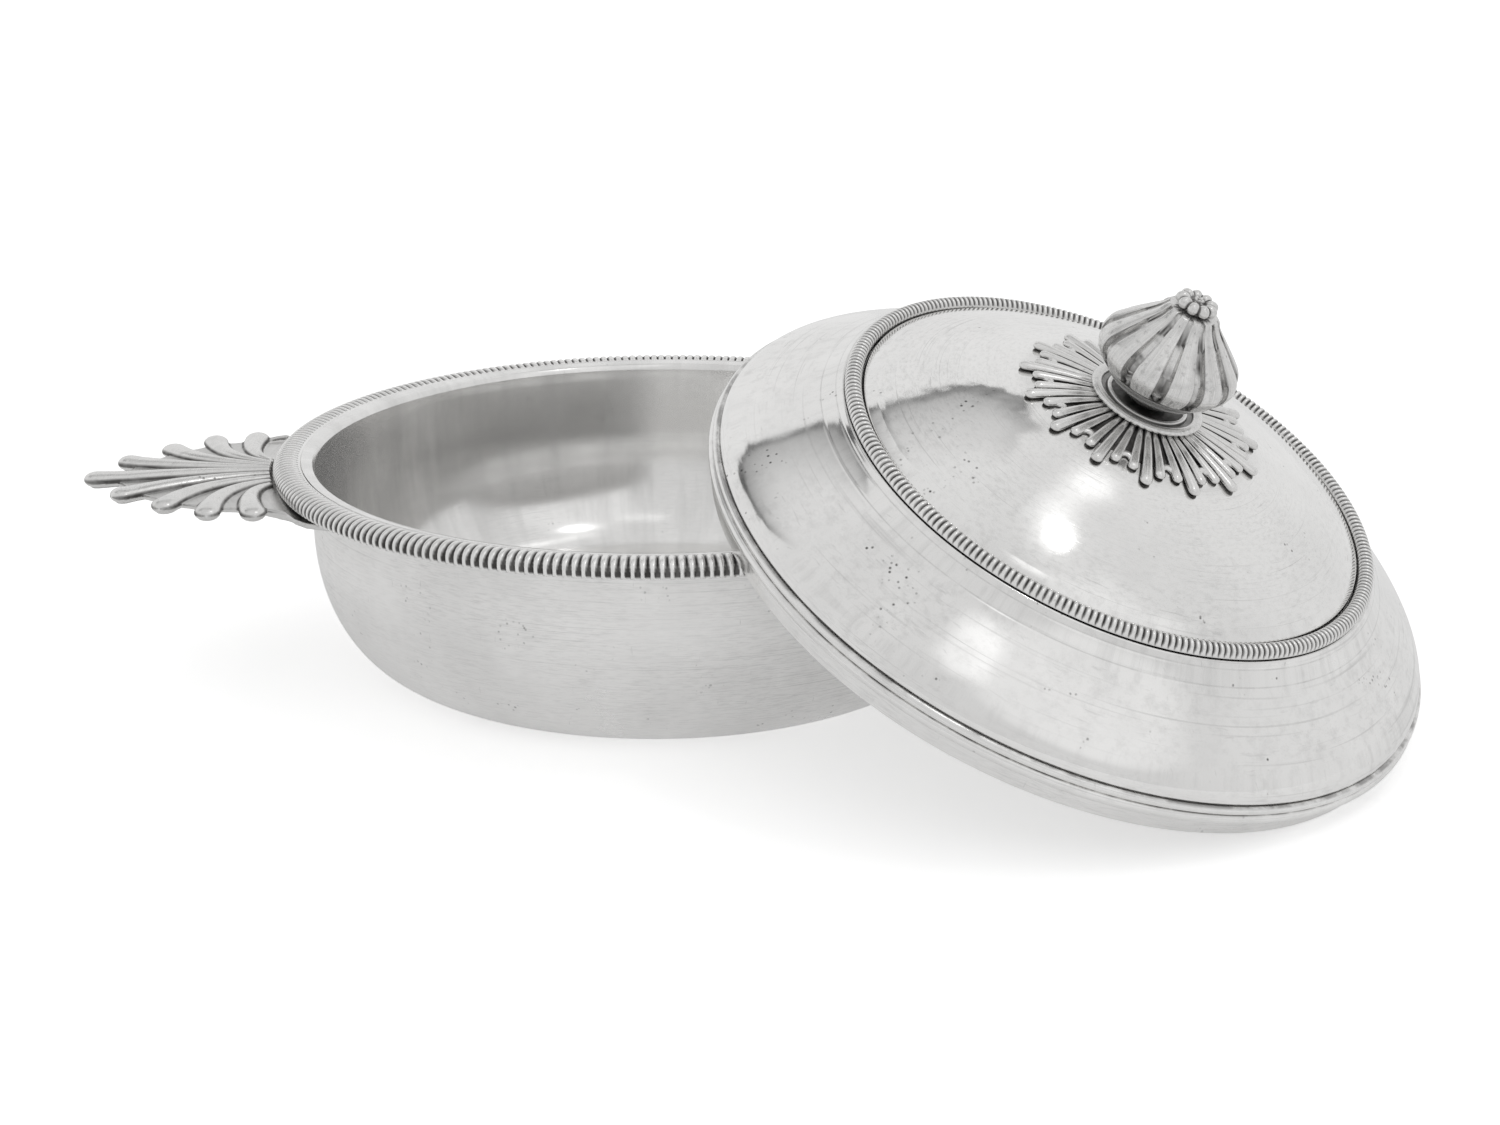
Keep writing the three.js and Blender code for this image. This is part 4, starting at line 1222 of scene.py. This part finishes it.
class ECUELLE_OT_flower(bpy.types.Operator):
    """Cast the small open flower that caps the bud"""
    bl_idname = "ecuelle.flower"
    bl_label = "Flower"

    def execute(self, context):
        s = context.scene.ecuelle_finial
        foot = s.flower_foot
        petal = ball("petal", (0.0033, 0, foot + 0.0014), 1, (0.0017, 0.00136, 0.0014), 20, 12)
        petals = repeated(petal, s.flower_petals)
        dish = [(0, 0), (0.0034, 0), (0.0035, 0.0011), (0.0019, 0.0021), (0, 0.0018)]
        core = turned_piece("core", [(r, foot + z) for r, z in dish], 40, closed=False)
        beads = []
        for turn in (FULL_TURN * i / 5 for i in range(5)):
            place = (0.0009 * math.cos(turn), 0.0009 * math.sin(turn), foot + 0.0023)
            beads.append(ball("bead", place, 0.0005, (1, 1, 1), 12, 8))
        whole = join_pieces("flower_cap", [*petals, core, *beads])
        cast_whole(whole, 0.00011, 1)

        def between_petals(co):
            r = radius_at(co)
            off = from_line(co, s.flower_petals) / (FULL_TURN / s.flower_petals)
            seam = (off - 0.36) * 9 if r > 0.0017 else 0
            ring = 1.1 - abs(r - 0.0016) / 0.0006
            # Painted shade on the underside; the seams between the petals and the ring round the middle are
            # dark lines.
            return max(seam, ring, 0.9 if co.z < foot + 0.0005 else 0)

        finish_piece(
            whole, "lid", "finial_flower", "Chased finial", hollow=between_petals, limit=None)
        return {"FINISHED"}


class ECUELLE_OT_fixings(bpy.types.Operator):
    """Give the hidden stud, washer and nut their finish"""
    bl_idname = "ecuelle.fixings"
    bl_label = "Fixings"

    def execute(self, context):
        for name in ("finial_stud", "finial_washer", "finial_nut"):
            for slot in frame["nodes"][name].material_slots:
                slot.material = finish("Hidden fixings")
        return {"FINISHED"}


# Studio

# The camera, found from the round edges in the photograph
CAMERA_PLACE = (-0.0799, -0.6010, 0.2211)
CAMERA_DOWN = math.radians(18.29)
CAMERA_TURN = math.radians(-9.69)
CAMERA_LENS = 59.42
CAMERA_SENSOR = 36

LAMP_PLACE = (0.5, -0.4, 1.35)
LAMP_AIM = (0.05, 0.0, 0.0)
LAMP_SIZE = (0.04, 0.08)

MIRRORED_FLOOR = (0.46, 0.46, 0.46)  # the table as the silver shows it
MIRRORED_GLOW = 0.86                 # share of its glow there

# Darker and lighter parts of the room: heading and height, width, depth and raggedness, angles in degrees
ROOM_PATCHES = (
    ((8, 69), 15, -0.42, 1.0),
    ((314, 60), 16, -0.5, 1.0),
    ((82, 64), 4, 1.0, 0.3),
    ((93, 69), 3.5, 0.5, 0.2),
    ((106, 72), 3.5, 0.45, 0.2),
    ((119, 71), 3.5, 0.5, 0.2),
    ((178, 59), 5, 0.7, 0.2),
    ((150, 42), 22, 0.2, 0.1),
)


def patch_group():
    """A patch of the room with a ragged edge, strongest along its lower border."""
    group, given, leave = new_group(
        "Room patch", {"Vector": None, "Centre": None, "Width": 0.2, "Ragged": 1.0}, ("Shade",))
    way, centre, ragged = given["Vector"], given["Centre"], given["Ragged"]
    away = maths(group, "ARCCOSINE", vectors(group, "DOT_PRODUCT", "Value", way, centre))
    wobble = maths(group, "SUBTRACT", noise(group, way, 7.0, 8.0, 0.72), 0.5)
    wobble = maths(group, "MULTIPLY", wobble, ragged, 0.34)
    edge = maths(group, "SUBTRACT", given["Width"], maths(group, "ADD", away, wobble))
    soft, crisp = remap(group, edge, -0.05, 0.1), remap(group, edge, 0.0, 0.012)
    inside = fed(group, "ShaderNodeMix", 0, {0: ragged, 2: soft, 3: crisp}, data_type="FLOAT")
    above = split_up(group, vectors(group, "SUBTRACT", "Vector", way, centre))[2]
    fade = remap(group, above, -0.09, 0.055, 1.0, 0.0)
    fade = maths(group, "MAXIMUM", fade, maths(group, "SUBTRACT", 1.0, ragged))
    line = maths(group, "MULTIPLY", remap(group, edge, 0.09, 0.01, 0.0, 0.9), fade, ragged)
    feed(group, leave, {"Shade": maths(group, "MULTIPLY", inside, maths(group, "ADD", fade, line))})
    return group


class ECUELLE_OT_studio(bpy.types.Operator):
    """Set the camera, the pale floor and the soft light"""
    bl_idname = "ecuelle.studio"
    bl_label = "Studio"

    def execute(self, context):
        scene = context.scene
        look = scene.ecuelle_studio
        scene.view_settings.view_transform = "Standard"
        leave_edit()
        bpy.ops.object.camera_add(location=CAMERA_PLACE, rotation=(math.pi / 2 - CAMERA_DOWN, 0, CAMERA_TURN))
        camera = context.object
        camera.data.sensor_width = CAMERA_SENSOR
        camera.data.lens = CAMERA_LENS
        camera.data.clip_start = 0.01
        scene.camera = camera
        bpy.ops.mesh.primitive_plane_add(size=8, location=(0, 0, -0.0001))
        floor = context.object
        floor.name = "table"
        floor.data.materials.append(self.floor_paint(look))
        self.sky(scene, look)
        self.lamp(look)
        return {"FINISHED"}

    def lamp(self, look):
        bpy.ops.object.light_add(type="AREA", location=LAMP_PLACE)
        lamp = bpy.context.object
        lamp.name = "key"
        lamp.data.shape = "ELLIPSE"
        lamp.data.size, lamp.data.size_y = LAMP_SIZE
        lamp.data.energy = look.key
        lamp.rotation_euler = (Vector(LAMP_AIM) - Vector(LAMP_PLACE)).to_track_quat("-Z", "Y").to_euler()

    def floor_paint(self, look):
        paint = bpy.data.materials.new("White table")
        paint.use_nodes = True
        tree = paint.node_tree
        rays = node(tree, "ShaderNodeLightPath")
        mirrored = rays.outputs["Is Glossy Ray"]
        glow = maths(tree, "MULTIPLY", rays.outputs["Is Camera Ray"], look.glow)
        glow = maths(tree, "ADD", glow, maths(tree, "MULTIPLY", mirrored, look.glow * MIRRORED_GLOW))
        feed(tree, tree.nodes["Principled BSDF"], {
            "Roughness": 0.9, "Specular IOR Level": 0.1, "Emission Color": (1, 1, 1, 1),
            "Base Color": mixed_colour(tree, mirrored, tuple(look.floor), MIRRORED_FLOOR),
            "Emission Strength": glow})
        return paint

    def sky(self, scene, look):
        world = bpy.data.worlds.new("White room")
        world.use_nodes = True
        scene.world = world
        tree = world.node_tree
        rays = node(tree, "ShaderNodeLightPath")
        place = node(tree, "ShaderNodeTexCoord").outputs["Generated"]
        depth = split_up(tree, place)[1]
        level = remap(tree, depth, -1.0, 0.8, look.sky * 0.92, look.sky * 1.1)
        patch = patch_group()
        for (heading, height), width, strength, ragged in ROOM_PATCHES:
            seen = node(tree, "ShaderNodeGroup", node_tree=patch)
            around, up = math.radians(heading), math.radians(height)
            centre = (math.sin(around) * math.cos(up), math.cos(around) * math.cos(up), math.sin(up))
            feed(tree, seen, {
                "Vector": place, "Centre": centre, "Width": math.radians(width), "Ragged": ragged})
            shade = maths(tree, "MULTIPLY", seen.outputs["Shade"], strength)
            level = maths(tree, "MULTIPLY", level, maths(tree, "ADD", shade, 1.0))
        white = maths(tree, "MAXIMUM", level, rays.outputs["Is Camera Ray"])
        feed(tree, tree.nodes["Background"], {"Strength": white, "Color": (1, 1, 1, 1)})


class ECUELLE_PT_panel(bpy.types.Panel):
    """Buttons for each piece"""
    bl_label = "Ecuelle"
    bl_space_type = "VIEW_3D"
    bl_region_type = "UI"
    bl_category = "Ecuelle"

    def draw(self, context):
        for operator in OPERATORS:
            self.layout.operator(operator.bl_idname)


OPERATORS = (
    ECUELLE_OT_studio,
    ECUELLE_OT_bowl,
    ECUELLE_OT_moulding,
    ECUELLE_OT_handles,
    ECUELLE_OT_lid,
    ECUELLE_OT_lid_edge,
    ECUELLE_OT_band,
    ECUELLE_OT_rosette,
    ECUELLE_OT_collar,
    ECUELLE_OT_bud,
    ECUELLE_OT_flower,
    ECUELLE_OT_fixings,
)
SETTINGS = {
    "ecuelle_bowl": BowlSizes,
    "ecuelle_handle": HandleSizes,
    "ecuelle_lid": LidSizes,
    "ecuelle_finial": FinialSizes,
    "ecuelle_silver": SilverLook,
    "ecuelle_studio": StudioSettings,
}


def register():
    for group in SETTINGS.values():
        bpy.utils.register_class(group)
    for name, group in SETTINGS.items():
        setattr(bpy.types.Scene, name, bpy.props.PointerProperty(type=group))
    for operator in OPERATORS:
        bpy.utils.register_class(operator)
    bpy.utils.register_class(ECUELLE_PT_panel)


def unregister():
    bpy.utils.unregister_class(ECUELLE_PT_panel)
    for operator in reversed(OPERATORS):
        bpy.utils.unregister_class(operator)
    for name in SETTINGS:
        delattr(bpy.types.Scene, name)
    for group in SETTINGS.values():
        bpy.utils.unregister_class(group)


def main():
    register()
    for operator in OPERATORS:
        family, name = operator.bl_idname.split(".")
        getattr(getattr(bpy.ops, family), name)()


if __name__ == "__main__":
    main()
